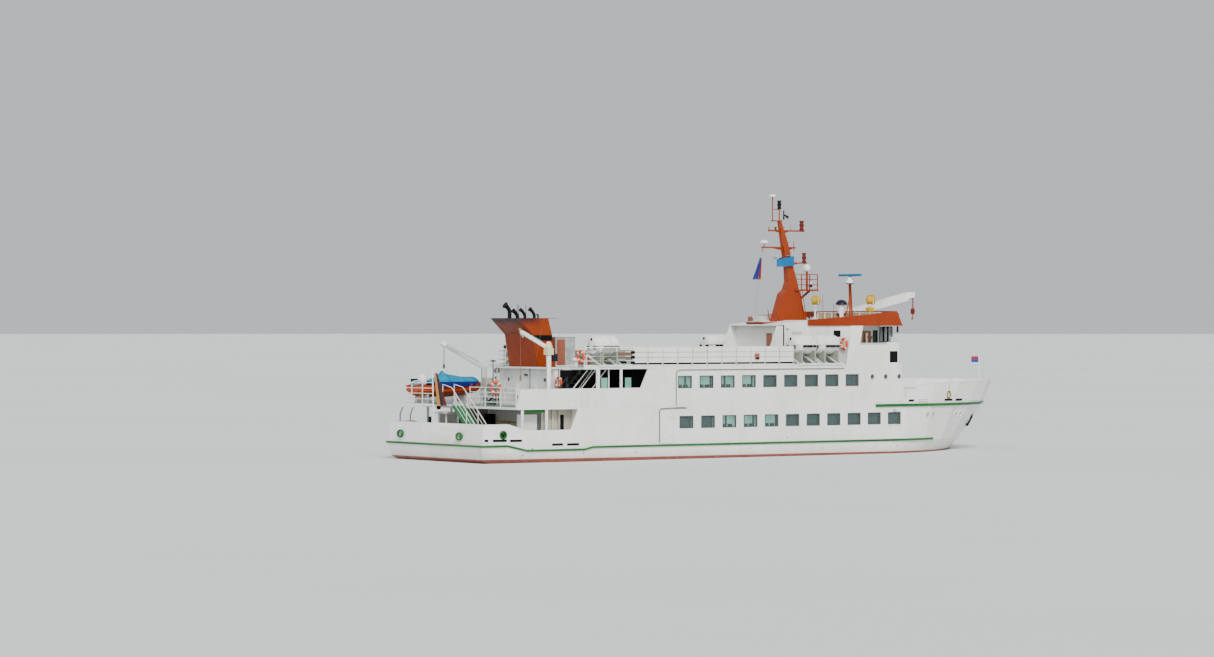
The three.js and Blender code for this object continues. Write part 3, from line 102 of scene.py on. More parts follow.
# Turned shapes as (radius, height), above the waterline or above their own foot
MUSHROOM = [(0, 0), (0.12, 0), (0.12, 0.34), (0.24, 0.36), (0.24, 0.41), (0.16, 0.5), (0, 0.53)]
DECK_VENT = [(0, 0), (0.1, 0), (0.1, 0.4), (0.22, 0.42), (0.22, 0.47), (0.12, 0.56), (0, 0.58)]
ROOF_VENT = [(0, 0), (0.14, 0), (0.14, 0.25), (0.25, 0.27), (0.25, 0.32), (0.14, 0.41), (0, 0.43)]
BOLLARD = [(0, 0.73), (0.13, 0.73), (0.13, 1.2), (0.165, 1.22), (0.165, 1.27), (0, 1.29)]
MOORING_REEL = [(0, -0.55), (0.36, -0.55), (0.36, -0.5), (0.2, -0.47)]
MOORING_REEL += [(r, -h) for r, h in MOORING_REEL[::-1]]
DAVIT_DRUM = [(0, -0.3), (0.24, -0.3), (0.24, -0.26), (0.13, -0.24)]
DAVIT_DRUM += [(r, -h) for r, h in DAVIT_DRUM[::-1]]
LAMP_YOKE = [(0, 8.46), (0.09, 8.46), (0.12, 8.5), (0.12, 8.58), (0.07, 8.63), (0, 8.63)]
LAMP_STAND = [(0, ROOF), (0.13, ROOF), (0.13, 7.48), (0.06, 7.6), (0.055, 8.47), (0, 8.47)]
COMPASS_STAND = [(0, ROOF), (0.27, ROOF), (0.27, 7.52), (0.215, 7.58), (0.215, 8.28), (0.235, 8.3)]
COMPASS_STAND += [(0.235, 8.36), (0.215, 8.38), (0.215, 8.63), (0, 8.63)]
COMPASS_HOOD = [(0, 8.6), (0.35, 8.6), (0.355, 8.66), (0.31, 8.75), (0.2, 8.86), (0.07, 8.9), (0, 8.905)]
RADAR_DRIVE = [(0, 9.875), (0.232, 9.875), (0.236, 9.95), (0.19, 10.08)]
RADAR_DRIVE += [(0.128, 10.1), (0.126, 10.232), (0, 10.232)]
AFT_DOME = [(0, 12.12), (0.2, 12.12), (0.25, 12.16), (0.25, 12.22), (0.2, 12.3), (0.1, 12.345), (0, 12.355)]
FORE_DOME = [(0, 10.55), (0.17, 10.55), (0.228, 10.65), (0.236, 10.78)]
FORE_DOME += [(0.19, 10.9), (0.1, 10.965), (0, 10.975)]
TOP_DOME = [(0, 14.84), (0.2, 14.842), (0.235, 14.87), (0.235, 14.9), (0.16, 14.99), (0, 15.0)]
STERN_LAMP = [(0, 2.78), (0.09, 2.78), (0.12, 2.84), (0.12, 2.94), (0.05, 3.0), (0, 3.0)]
ENGINE = [(0, 4.12), (0.2, 4.12), (0.26, 4.25), (0.27, 4.45), (0.2, 4.62), (0.08, 4.7), (0, 4.71)]
DAVIT_HOOK = [(0, 5.0), (0.04, 5.0), (0.06, 5.07), (0.06, 5.18), (0.03, 5.26), (0, 5.26)]
SHAFT_CAP = [(0, -0.02), (0.08, 0), (0.06, 0.12), (0, 0.2)]

# Camera: where it stands, the way it looks and its lens
EYE = Vector((-120.836, -164.060, 7.473))
LOOK = math.radians(-34.5)
DOWN = math.radians(0.073)
LENS = 104.975


def camera():
    data = bpy.data.cameras.new("camera")
    data.lens = LENS
    data.clip_end = 3000
    eye = bpy.data.objects.new("camera", data)
    eye.location = EYE
    eye.rotation_euler = (math.pi / 2 - DOWN, 0, LOOK)
    bpy.context.scene.collection.objects.link(eye)
    bpy.context.scene.camera = eye


def daylight():
    world = bpy.data.worlds.new("sky")
    bpy.context.scene.world = world
    world.use_nodes = True
    sky = world.node_tree.nodes["Background"]
    sky.inputs["Color"].default_value = (0.86, 0.90, 0.95, 1)
    sky.inputs["Strength"].default_value = 0.72
    for name, power, spread, aim in [
        ("key", 3.6, 20, (0.30, 0.70, -0.65)),
        ("low", 1.3, 50, (0.66, 0.73, -0.12)),
        ("fill", 0.35, 60, (0.7, -0.5, -0.5)),
    ]:
        data = bpy.data.lights.new(name, "SUN")
        data.energy = power
        data.angle = math.radians(spread)
        lamp = bpy.data.objects.new(name, data)
        lamp.rotation_euler = Vector(aim).to_track_quat("-Z", "Y").to_euler()
        bpy.context.scene.collection.objects.link(lamp)


# Shapes, each added to a mesh as a closed solid
def meshes(count):
    return [bmesh.new() for _ in range(count)]


def box(bm, low, high, place=Matrix()):
    middle = [(a + b) / 2 for a, b in zip(low, high)]
    size = [abs(b - a) for a, b in zip(low, high)]
    where = place @ Matrix.Translation(middle) @ Matrix.Diagonal((*size, 1))
    bmesh.ops.create_cube(bm, size=1, matrix=where)


def facing(point, normal):
    """A place at a point, its own Z out along the normal and its own Y upwards."""
    turn = Vector(normal).to_track_quat("Z", "Y").to_matrix().to_4x4()
    return Matrix.Translation(point) @ turn


def rod(bm, start, end, radius, sides=8, end_radius=None):
    start, end = Vector(start), Vector(end)
    way = end - start
    far = radius if end_radius is None else end_radius
    bmesh.ops.create_cone(
        bm,
        cap_ends=True,
        segments=sides,
        radius1=radius,
        radius2=far,
        depth=way.length,
        matrix=facing((start + end) / 2, way),
    )


def ball(bm, centre, radius, squeeze=(1, 1, 1), steps=12):
    where = Matrix.Translation(centre) @ Matrix.Diagonal((*squeeze, 1))
    bmesh.ops.create_uvsphere(bm, u_segments=steps, v_segments=steps // 2, radius=radius, matrix=where)


def pipe(bm, points, radius, sides=8):
    for start, end in zip(points, points[1:]):
        rod(bm, start, end, radius, sides)
    for bend in points[1:-1]:
        ball(bm, bend, radius * 1.02, steps=8)


def spun(bm, profile, place, steps=20, closed=False):
    """A profile of (radius, height) spun about Z, then put in its place."""
    before = set(bm.verts)
    corners = [bm.verts.new((r, 0, h)) for r, h in profile]
    lines = [bm.edges.new(pair) for pair in zip(corners, corners[1:])]
    if closed:
        lines.append(bm.edges.new((corners[-1], corners[0])))
    bmesh.ops.spin(
        bm,
        geom=corners + lines,
        cent=(0, 0, 0),
        axis=(0, 0, 1),
        angle=2 * math.pi,
        steps=steps,
        use_merge=True,
    )
    made = [v for v in bm.verts if v not in before]
    bmesh.ops.remove_doubles(bm, verts=made, dist=1e-5)
    bmesh.ops.transform(bm, matrix=place, verts=[v for v in made if v.is_valid])


def hoop(bm, place, radius, thick, steps=24, sides=8, squeeze=1.0):
    """A round ring about its place's Z."""
    turns = [2 * math.pi * i / sides for i in range(sides)]
    ring = [(radius + thick * math.cos(t), thick * squeeze * math.sin(t)) for t in turns]
    spun(bm, ring, place, steps, True)


def turned(bm, x, y, profile, steps=16, foot=0):
    """A profile of (radius, height) turned about an upright line."""
    spun(bm, profile, Matrix.Translation((x, y, foot)), steps)


def disc(bm, place, radius, back, front, steps, middle=None):
    """A round disc about its place's Z, its front flat or crowned."""
    crown = front if middle is None else middle
    spun(bm, [(0, back), (radius, back), (radius, front), (0, crown)], place, steps)


def rung(bm, foot, x, y, half, z, radius):
    """A bent bar that stands out from a wall to x, its ends sunk in the wall."""
    pipe(bm, [(foot, y - half, z), (x, y - half, z), (x, y + half, z), (foot, y + half, z)], radius, 6)


def between(pairs, at):
    """The value between two pairs of a table."""
    a, b = next((a, b) for a, b in zip(pairs, pairs[1:]) if a[0] <= at <= b[0])
    return a[1] + (b[1] - a[1]) * (at - a[0]) / (b[0] - a[0])


def hanging_chain(bm, x, y, top, links, radius, thick):
    """Links that hang plumb, each a quarter turn from the last."""
    for i in range(links):
        turn = Matrix.Rotation(math.pi / 2 * (i % 2), 4, "Z") @ Matrix.Rotation(math.pi / 2, 4, "X")
        where = Matrix.Translation((x, y, top - CHAIN_PITCH * i)) @ turn
        hoop(bm, where @ Matrix.Diagonal((0.6, 1, 1, 1)), radius, thick, 12, 5)


def plate(bm, outline, push):
    """A flat outline given a thickness."""
    face = bm.faces.new([bm.verts.new(p) for p in outline])
    grown = bmesh.ops.extrude_face_region(bm, geom=[face])["geom"]
    bmesh.ops.translate(bm, vec=push, verts=[g for g in grown if isinstance(g, bmesh.types.BMVert)])


def window_frame(bm, place, wide, high, bar, deep, rise):
    """A frame of four bars round an opening, from deep inside to just proud of it."""
    w, h = wide / 2, high / 2
    box(bm, (-w - bar / 2, -h - bar / 2, -deep), (-w + bar / 2, h + bar / 2, rise), place)
    box(bm, (w - bar / 2, -h - bar / 2, -deep), (w + bar / 2, h + bar / 2, rise), place)
    box(bm, (-w + bar / 2, -h - bar / 2, -deep), (w - bar / 2, -h + bar / 2, rise), place)
    box(bm, (-w + bar / 2, h - bar / 2, -deep), (w - bar / 2, h + bar / 2, rise), place)


def piece(name, bm, finish, body="ship", crease=35, bevel=0.0):
    """A finished mesh as a piece that rides on a body, smooth but for its creases."""
    bmesh.ops.recalc_face_normals(bm, faces=bm.faces)
    mesh = bpy.data.meshes.new(name)
    bm.to_mesh(mesh)
    bm.free()
    mesh.materials.append(finish)
    mesh.shade_smooth()
    mesh.set_sharp_from_angle(angle=math.radians(crease))
    made = bpy.data.objects.new(name, mesh)
    bpy.context.scene.collection.objects.link(made)
    if bevel:
        edge = made.modifiers.new("edges", "BEVEL")
        edge.width = bevel
        edge.segments = 2
        edge.limit_method = "ANGLE"
        edge.angle_limit = math.radians(40)
    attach(made, body)
    return made


def merged(node):
    """A copy of a node's mesh with its loose triangles joined."""
    bm = bmesh.new()
    bm.from_mesh(frame["nodes"][node].data)
    bmesh.ops.remove_doubles(bm, verts=bm.verts, dist=1e-4)
    return bm


def body_of(node):
    bodies = frame["record"]["behaviour"]["bodies"]
    return next(body for body, nodes in bodies.items() if node in nodes)


def dressed(node, finish):
    """A smooth-shaded copy that stands for its node."""
    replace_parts(piece(node + "_form", merged(node), finish, body_of(node), crease=32), node)


def surface(*nodes):
    """The surfaces of these nodes, ready for rays."""
    trees = []
    for node in nodes:
        bm = merged(node)
        trees.append(BVHTree.FromBMesh(bm))
        bm.free()
    return trees


def on_side(trees, x, z, side):
    """The point and outward normal of the ship's side at a length and a height."""
    start, way = Vector((x, side * 8, z)), Vector((0, -side, 0))
    hits = [hit[:2] for hit in (tree.ray_cast(start, way) for tree in trees) if hit[0]]
    return min(hits, key=lambda hit: (hit[0] - start).length)


# Finishes. White ship's paint: as new, faded and stained
WHITE_TONES = ("e9e8e4", "dedcd5", "b7afa0")


def tone(code):
    """A colour code as the linear values that a shader takes."""
    parts = [int(code[i : i + 2], 16) / 255 for i in (0, 2, 4)]
    return (*[p / 12.92 if p <= 0.04045 else ((p + 0.055) / 1.055) ** 2.4 for p in parts], 1)


class Finish:
    """One material: patterns on the piece's own coordinates feed its shader."""

    def __init__(self, name, roughness=0.5, metallic=0.0, coat=0.0, coat_roughness=0.1):
        self.material = bpy.data.materials.new(name)
        self.material.use_nodes = True
        self.tree = self.material.node_tree
        self.shader = self.tree.nodes["Principled BSDF"]
        self.place = self.node("TexCoord").outputs["Object"]
        self.set("Roughness", roughness)
        self.set("Metallic", metallic)
        self.set("Coat Weight", coat)
        self.set("Coat Roughness", coat_roughness)

    def set(self, socket, value):
        self.feed(self.shader.inputs[socket], value)

    def feed(self, socket, value):
        if isinstance(value, bpy.types.NodeSocket):
            self.tree.links.new(value, socket)
        else:
            socket.default_value = value

    def node(self, kind, inputs=None, **settings):
        made = self.tree.nodes.new("ShaderNode" + kind)
        for key, value in settings.items():
            setattr(made, key, value)
        for key, value in (inputs or {}).items():
            self.feed(made.inputs[key], value)
        return made

    def noise(self, scale, stretch=(1, 1, 1), detail=3.0, roughness=0.55):
        where = self.node("Mapping", {"Vector": self.place, "Scale": stretch}).outputs[0]
        inputs = {"Vector": where, "Scale": scale, "Detail": detail, "Roughness": roughness}
        return self.node("TexNoise", inputs).outputs[0]

    def band(self, source, low, high, start=0.0, end=1.0):
        """A source value from low to high as an amount from start to end."""
        inputs = {"Value": source, "From Min": low, "From Max": high, "To Min": start, "To Max": end}
        return self.node("MapRange", inputs).outputs[0]

    def sum(self, a, b, operation="ADD"):
        return self.node("Math", {0: a, 1: b}, operation=operation).outputs[0]

    def times(self, a, b):
        return self.sum(a, b, "MULTIPLY")

    def axis(self, name):
        return self.node("SeparateXYZ", {0: self.place}).outputs[name]

    def upward(self):
        """One on faces that look up, nought elsewhere."""
        normal = self.node("NewGeometry").outputs["Normal"]
        up = self.node("SeparateXYZ", {0: normal}).outputs["Z"]
        return self.band(up, 0.75, 0.8)

    def mix(self, amount, a, b):
        made = self.node("Mix", data_type="RGBA")
        for socket, value in zip((made.inputs[0], made.inputs[6], made.inputs[7]), (amount, a, b)):
            self.feed(socket, value)
        return made.outputs[2]

    def bump(self, height, distance=0.002, strength=1.0):
        inputs = {"Height": height, "Distance": distance, "Strength": strength}
        self.set("Normal", self.node("Bump", inputs).outputs[0])

    def paint(self, base, worn, dirt, streak=0.35, fleck=0.15, rough=(0.35, 0.55)):
        """Weathered paint: faded patches, streaks that run down, and small chips."""
        base, worn, dirt = map(tone, (base, worn, dirt))
        faded = self.mix(self.times(self.band(self.noise(0.5), 0.42, 0.66), 0.8), base, worn)
        runs = self.band(self.noise(2.2, (1.6, 1.6, 0.16), 4), 0.52, 0.78, 0, streak)
        streaked = self.mix(runs, faded, dirt)
        chips = self.band(self.noise(9.0, detail=5), 0.66, 0.74, 0, fleck)
        self.set("Roughness", self.band(self.noise(3.0), 0.3, 0.7, *rough))
        return self.mix(chips, streaked, dirt)


def plating(finish, colour, seam_colour, amount=0.35):
    """Weld seams between plates on the ship's side."""
    across = finish.node("CombineXYZ", {"X": finish.axis("X"), "Y": finish.axis("Z")}).outputs[0]
    inputs = {
        "Vector": across,
        "Scale": 1.0,
        "Mortar Size": 0.012,
        "Mortar Smooth": 0.6,
        "Brick Width": 3.1,
        "Row Height": 1.11,
        "Bias": 0.0,
    }
    seam = finish.node("TexBrick", inputs, offset=0.5).outputs["Fac"]
    dents = finish.noise(0.9, (1, 1, 1.4), 2)
    finish.bump(finish.sum(finish.times(seam, 0.35), dents), 0.012, 0.5)
    return finish.mix(finish.times(seam, amount), colour, seam_colour)


def ship_white(name, boot_top=False, deck=None, fittings=None, posts=False):
    """White ship's paint; below the boot-top line red-brown, on decks their own colour."""
    f = Finish(name, coat=0.15, coat_roughness=0.25)
    colour = f.paint(*WHITE_TONES, streak=0.22, fleck=0.05)
    colour = plating(f, colour, tone("bdb9ae"))
    if boot_top:
        line = f.sum(f.times(f.axis("X"), -0.0033), 0.157)
        depth = f.sum(line, f.axis("Z"), "SUBTRACT")
        stain = f.band(f.sum(depth, f.times(f.noise(1.5, (1, 1, 0.5)), 0.35)), -0.25, 0.2, 0, 0.45)
        colour = f.mix(stain, colour, tone("b9ac93"))
        red = f.mix(f.band(f.noise(2.5, (1, 1, 2), 5), 0.4, 0.65), tone("8d4331"), tone("6b3a30"))
        colour = f.mix(f.band(depth, 0.0, 0.012), colour, red)
    if deck:
        worn = f.mix(f.band(f.noise(1.2, detail=6), 0.4, 0.7), tone(deck[0]), tone(deck[1]))
        colour = f.mix(f.upward(), colour, worn)
    if posts:
        outboard = f.node("Math", {0: f.axis("Y")}, operation="ABSOLUTE").outputs[0]
        aft = f.times(f.band(f.axis("X"), -18.9, -18.89, 1, 0), f.band(outboard, 1.2, 1.21))
        above = f.times(aft, f.band(f.axis("Z"), 2.88, 2.9, 1, 0))
        colour = f.mix(above, colour, f.paint("6d6a63", "7d7972", "4d473e"))
    if fittings:
        grey = f.mix(f.band(f.noise(3.0), 0.4, 0.6), tone("b4b7b5"), tone("999c99"))
        colour = f.mix(f.band(f.axis("Z"), fittings, fittings + 0.01), colour, grey)
    f.set("Base Color", colour)
    return f.material


def coloured(name, base, worn, dirt, metallic=0.0, coat=0.2, **wear):
    f = Finish(name, metallic=metallic, coat=coat, coat_roughness=0.2)
    f.set("Specular IOR Level", 0.22)
    f.set("Base Color", f.paint(base, worn, dirt, **wear))
    f.bump(f.noise(6, detail=3), 0.001, 0.4)
    return f.material


def cloth(name, base, worn):
    """Coated cloth: a fine weave, soft creases and lighter high spots."""
    f = Finish(name, roughness=0.75)
    f.set("Sheen Weight", 0.25)
    thread = {"Vector": f.place, "Scale": 450, "Distortion": 0.4}
    warp, weft = (f.node("TexWave", thread, bands_direction=way).outputs["Fac"] for way in "ZX")
    folds = f.noise(5.0, (1, 1, 0.6), 3)
    f.bump(f.sum(f.times(f.sum(warp, weft), 0.06), folds), 0.01, 0.6)
    f.set("Base Color", f.mix(f.band(folds, 0.35, 0.65), tone(base), tone(worn)))
    return f.material


def timber(name, dark, light):
    """Varnished boards with their grain upright."""
    f = Finish(name, roughness=0.35, coat=0.5)
    grain = f.noise(14, (3, 3, 0.25), 6)
    f.set("Base Color", f.mix(f.band(grain, 0.35, 0.65), tone(dark), tone(light)))
    f.bump(grain, 0.001, 0.5)
    return f.material


def glazing(name, colour, alpha):
    f = Finish(name, roughness=0.04)
    f.set("Specular IOR Level", 0.6)
    f.set("Alpha", alpha)
    tint = f.mix(f.band(f.noise(1.7, (1, 1, 0.4)), 0.4, 0.6), tone(colour), tone("56706d"))
    f.set("Base Color", tint)
    return f.material


def painted_daylight(name, colour, other, strength):
    """A glowing panel, painted light: it stands in for pale daylight seen through a window, though it is no
    lamp.
    """
    f = Finish(name, roughness=0.9)
    glow = f.mix(f.band(f.noise(1.4, (1, 1, 0.7)), 0.4, 0.6), tone(colour), tone(other))
    f.set("Base Color", glow)
    f.set("Emission Color", glow)
    f.set("Emission Strength", strength)
    return f.material


def striped_rubber():
    """Black rubber with worn yellow bands."""
    f = Finish("banded_rubber", roughness=0.7)
    turns = f.node("TexWave", {"Vector": f.place, "Scale": 2.6, "Distortion": 1.2}, bands_direction="Z")
    f.set("Base Color", f.mix(f.band(turns.outputs["Fac"], 0.45, 0.6), tone("1c1c1b"), tone("b9a13a")))
    f.bump(f.noise(40), 0.001)
    return f.material


def rail_white():
    """White on the rail; its raft cradles inboard are grey-green."""
    f = Finish("rail_white", coat=0.1, coat_roughness=0.25)
    fore = f.times(f.band(f.axis("X"), 1.5, 1.51), f.band(f.axis("X"), 5.05, 5.06, 1, 0))
    aft = f.times(f.band(f.axis("X"), -12.2, -12.19), f.band(f.axis("X"), -10.21, -10.2, 1, 0))
    low = f.times(f.band(f.axis("Z"), 5.2, 5.21), f.band(f.axis("Z"), 5.97, 5.98, 1, 0))
    inboard = f.times(f.sum(fore, aft), low)
    white = f.paint(*WHITE_TONES, streak=0.22, fleck=0.05)
    f.set("Base Color", f.mix(inboard, white, f.paint("8b9384", "9da394", "5c6153")))
    return f.material


def raft_shell():
    """White canisters with fine ribs round them, and grey lines at the ribs as painted shade."""
    f = Finish("raft_white", coat=0.3, coat_roughness=0.25)
    colour = f.paint("e9e8e3", "dcdad2", "b2ada0", streak=0.3, fleck=0.05)
    turn = f.node("Math", {0: f.times(f.axis("X"), 3.7)}, operation="FRACT").outputs[0]
    rib = f.times(f.band(turn, 0.0, 0.06), f.band(turn, 0.06, 0.16, 1, 0))
    # Grey lines at the ribs: painted shade.
    f.set("Base Color", f.mix(f.times(rib, 0.55), colour, tone("8d897f")))
    f.bump(rib, 0.01, 0.7)
    return f.material


def davit_white():
    """White post and arm, and a brown fall under the arm."""
    f = Finish("davit_white", coat=0.15, coat_roughness=0.25)
    white = f.paint(*WHITE_TONES, streak=0.22, fleck=0.05)
    under = f.band(f.sum(f.axis("Z"), f.times(f.axis("X"), 0.669)), -3.96, -3.95, 1, 0)
    fall = f.times(under, f.band(f.axis("X"), -15.01, -15.0, 1, 0))
    f.set("Base Color", f.mix(fall, white, f.paint("8a4f36", "9a6248", "55372a")))
    return f.material


def sooted_orange():
    """The funnel's paint: seams between its plates, soot round its mouth, and near-black at the top of its
    after end, which is soot and painted shade under the flared top.
    """
    f = Finish("funnel_orange", coat=0.05, coat_roughness=0.3)
    f.set("Specular IOR Level", 0.15)
    colour = f.paint("86320c", "933b12", "5a2411", streak=0.35)
    colour = plating(f, colour, tone("6e2a12"), 0.5)
    # Near-black at the top of the after end: soot, and painted shade under the flared top.
    aft = f.band(f.axis("X"), -13.3, -14.1)
    lip = f.band(f.sum(f.axis("Z"), f.times(f.noise(2.0, (1, 1, 0.4)), 0.3)), 7.45, 7.92)
    colour = f.mix(f.times(f.times(aft, lip), 0.95), colour, tone("241a26"))
    colour = f.mix(f.times(f.band(f.axis("Z"), 7.1, 7.9, 0, 0.25), f.noise(1.3)), colour, tone("4a2a22"))
    f.set("Base Color", colour)
    return f.material


def stair_green():
    """Green strings and treads; above the stair's own slope its handrails are white."""
    f = Finish("stair_green", coat=0.2, coat_roughness=0.25)
    slope = f.sum(f.axis("Z"), f.sum(f.times(f.axis("Y"), 0.831), 3.28), "SUBTRACT")
    green = f.paint("1f6a3c", "2c7a48", "23402c", streak=0.4)
    f.set("Base Color", f.mix(f.band(slope, 0.0, 0.01), green, tone("e4e3de")))
    return f.material


def sheet_colours(name, stripes, along, fold_shade):
    """Bunting in stripes along its own length or depth, its folds darkened towards near-black as painted
    shade.
    """
    f = Finish(name, roughness=0.85)
    f.set("Sheen Weight", 0.25)
    where = f.node("SeparateXYZ", {0: f.node("TexCoord").outputs["UV"]}).outputs[along]
    colour = tone(stripes[0])
    for i, code in enumerate(stripes[1:], 1):
        edge = i / len(stripes)
        colour = f.mix(f.band(where, edge - 0.004, edge + 0.004), colour, tone(code))
    folds = f.noise(7.0, (1, 1, 0.5), 3)
    # Near-black in the folds: painted shade.
    colour = f.mix(f.band(folds, 0.35, 0.65, 0, fold_shade), colour, tone("1c1c20"))
    f.set("Base Color", colour)
    weave = f.node("TexWave", {"Vector": f.place, "Scale": 400, "Distortion": 0.3}, bands_direction="Z")
    f.bump(f.sum(f.times(weave.outputs["Fac"], 0.05), folds), 0.01, 0.6)
    return f.material


def cover_cloth():
    """The boat's cover: light blue above, a navy skirt along its edge, and soft creases."""
    f = Finish("cover_blue", roughness=0.7)
    f.set("Specular IOR Level", 0.15)
    folds = f.noise(3.2, (0.7, 1, 1.5), 4)
    light = f.mix(f.band(folds, 0.35, 0.65), tone("006f92"), tone("0686ab"))
    f.set("Base Color", f.mix(f.band(f.axis("Z"), 4.265, 4.275), tone("080f5c"), light))
    weave = f.node("TexWave", {"Vector": f.place, "Scale": 420, "Distortion": 0.3}, bands_direction="X")
    f.bump(f.sum(f.times(weave.outputs["Fac"], 0.04), folds), 0.03, 0.7)
    return f.material


WHITE = ship_white("white")
HULL = ship_white("hull_white", boot_top=True, deck=("6f7a6c", "59685c"))
DECKS = ship_white("deck_green", deck=("41705a", "35604c"))
BOAT_DECK_PAINT = ship_white("boat_deck_green", deck=("3f7054", "34604a"), fittings=5.2)
RAIL_PAINT = rail_white()
BULWARK = ship_white("bulwark_white", boot_top=True)
WORN_PIPE = coloured("worn_pipe", "5f5a51", "79736a", "4f3323", coat=0.0, streak=0.6)
LANDING_PAINT = ship_white("landing_white", deck=("2f6a46", "3c7550"), posts=True)
ORANGE = coloured("copper_orange", "8a310b", "963d12", "5c2412", coat=0.05, streak=0.3)
FUNNEL_ORANGE = sooted_orange()
DARK_YELLOW = coloured("dark_yellow", "a8892a", "b3953a", "5c4c20")
PALE_YELLOW = coloured("pale_yellow", "d8d0a8", "c8bf98", "8f8663")
NIGHT_BLUE = coloured("night_blue", "10131f", "171b2a", "0b0d14", coat=0.05)
TEAL = coloured("scanner_teal", "0a6d80", "127a8c", "0d4f5c", coat=0.05)
# Grey-beige: the real colour of covers, screens and the control box, and painted shade on the dodger bars.
BRASS_RED = coloured("worn_chain", "4a3022", "5f402c", "2c1c14", metallic=0.2)
BEIGE_GREY = coloured("grey_weathered_and_shaded", "b7b2a2", "a39d8c", "7a7260")
LAMP_LENS = coloured("lamp_lens_red", "5e0e0b", "701510", "350a08", coat=0.3)
RUST_RED = coloured("locker_rust", "94563f", "a06a52", "5f3a30")
STAIR_GREEN = stair_green()
BANDED = striped_rubber()
BEIGE = coloured("lining_beige", "b3a184", "a5937a", "82735c", coat=0.05)
GREEN = coloured("strake_green", "135f22", "2c7236", "1c3f22", coat=0.05, fleck=0.5, streak=0.5)
GASKET = coloured("window_gasket", "454a49", "585d5b", "332f2a", coat=0.0)
# Near-black grey on the passages' stairs: painted shade, as they stand in the shaded passage.
STAIR_SHADE = coloured("stair_painted_shade", "2b302e", "3a403d", "1c1e1c", coat=0.0)
# The bridge doors' panes glow faintly: painted light.
PANE_GLOW = painted_daylight("pane_daylight", "dfe8e4", "cfdad6", 0.25)
GREY = coloured("light_grey", "bfc2c1", "a9adab", "77756e")
STEEL = coloured("galvanised", "8f9497", "a9adaf", "6d6a63", metallic=0.7, coat=0.0)
BLACK = coloured("soot_black", "0e0e0f", "171514", "2a1e18", coat=0.0, rough=(0.6, 0.85))
RUBBER = coloured("black_rubber", "0d0e0f", "161718", "0a0a0a", coat=0.0, rough=(0.6, 0.8))
BLUE = coloured("signal_blue", "005f92", "0670a4", "0c4668", coat=0.0)
YELLOW = coloured("lamp_yellow", "cfa21a", "d8b336", "7f6318", coat=0.05)
BOTTOM = coloured("bottom_red", "8d4331", "74402f", "5a4438", rough=(0.6, 0.8))
BRONZE = coloured("cast_bronze", "a57e43", "8b7445", "4f5a3d", metallic=0.9, coat=0.0)
SHELL = raft_shell()
DAVIT_PAINT = davit_white()
BOAT = coloured("boat_orange", "a8340f", "b8491f", "642a16", coat=0.05)
BUOY = coloured("lifebuoy_orange", "cf4314", "d75a2c", "9a4022", coat=0.05)
DARK_RED = coloured("lamp_red", "5a0f0c", "6b1814", "36100e", coat=0.1)
COVER = cover_cloth()
TARP = cloth("stern_tarp", "6f8aa3", "8aa0b4")
ENSIGN = sheet_colours("ensign", ("c98610", "0c0c0c", "8f1410"), "X", 0.35)
JACK = sheet_colours("jack", ("14309a", "a01c1c"), "Y", 0.15)
SIGNAL = sheet_colours("signal_flag", ("a01a16", "10258c", "10258c"), "X", 0.4)
WOOD = timber("varnished_wood", "8a4a1c", "b86e2e")
SLATS = timber("bench_wood", "7c5a3a", "a07b52")
GLASS = glazing("window_glass", "5f6d6b", 0.28)
LAMP_GLASS = glazing("lamp_glass", "dfe6e6", 0.8)
DARK_GLASS = glazing("bridge_glass", "42605e", 0.55)
# Saloon window backs and passage panels that glow: painted daylight from the far side.
DAYLIGHT_GLOW = painted_daylight("saloon_daylight", "93d8c2", "7abfa9", 0.8)
# Dark backs of the saloon windows: painted shade.
DIM = coloured("saloon_shade", "3a4b49", "324341", "2a3836", coat=0.0)
# Near-black: the colour of some black fittings, and painted shade in openings, gaps, recesses and
# silhouettes.
BLACK_AND_SHADE = coloured("black_and_painted_shade", "060707", "0c0d0e", "12100e", coat=0.0, rough=(0.8, 0.95))
RED_GLASS = glazing("red_glass", "8a0f0c", 0.96)
GREEN_GLASS = glazing("green_glass", "1f8f4c", 0.9)

FINISH_OF_SLOT = {
    "hull_paint": HULL,
    "white_paint": WHITE,
    "deck_paint": DECKS,
    "green_paint": GREEN,
    "orange_paint": ORANGE,
    "black_paint": BLACK,
    "grey_paint": GREY,
    "blue_paint": BLUE,
    "yellow_paint": YELLOW,
    "bottom_paint": BOTTOM,
    "bronze": BRONZE,
    "raft_shell": SHELL,
    "boat_shell": BOAT,
    "cover_cloth": COVER,
    "varnished_wood": WOOD,
}
OWN_FINISH = {
    "boat_deck": BOAT_DECK_PAINT,
    "funnel": FUNNEL_ORANGE,
    "stern_stair": STAIR_GREEN,
    "deck_stair_starboard": STAIR_SHADE,
    "deck_stair_port": STAIR_SHADE,
    "stern_landing": LANDING_PAINT,
    "boat_deck_rail_starboard": RAIL_PAINT,
    "boat_deck_rail_port": RAIL_PAINT,
}


def paint_nodes():
    """Every node gets its slot's finish, on the nodes themselves."""
    for entry in frame["record"]["subparts"]:
        slots = frame["nodes"][entry["node"]].material_slots
        slots[0].material = OWN_FINISH.get(entry["node"], FINISH_OF_SLOT[entry["material_slot"]])


def smooth_nodes():
    """The rounded nodes, as smooth copies."""
    for node, finish in [
        ("hull", HULL),
        ("forecastle", HULL),
        ("bow_bulwark", BULWARK),
        ("stern_bulwark", BULWARK),
        ("rubbing_strake", GREEN),
        ("bow_strake", GREEN),
        ("radar_post", ORANGE),
        ("windlass", GREEN),
        ("crane_post", WHITE),
        ("davit_arm", GREY),
        ("side_davit", DAVIT_PAINT),
        ("davit_pedestal", GREY),
        ("propeller_starboard", BRONZE),
        ("propeller_port", BRONZE),
    ]:
        dressed(node, finish)


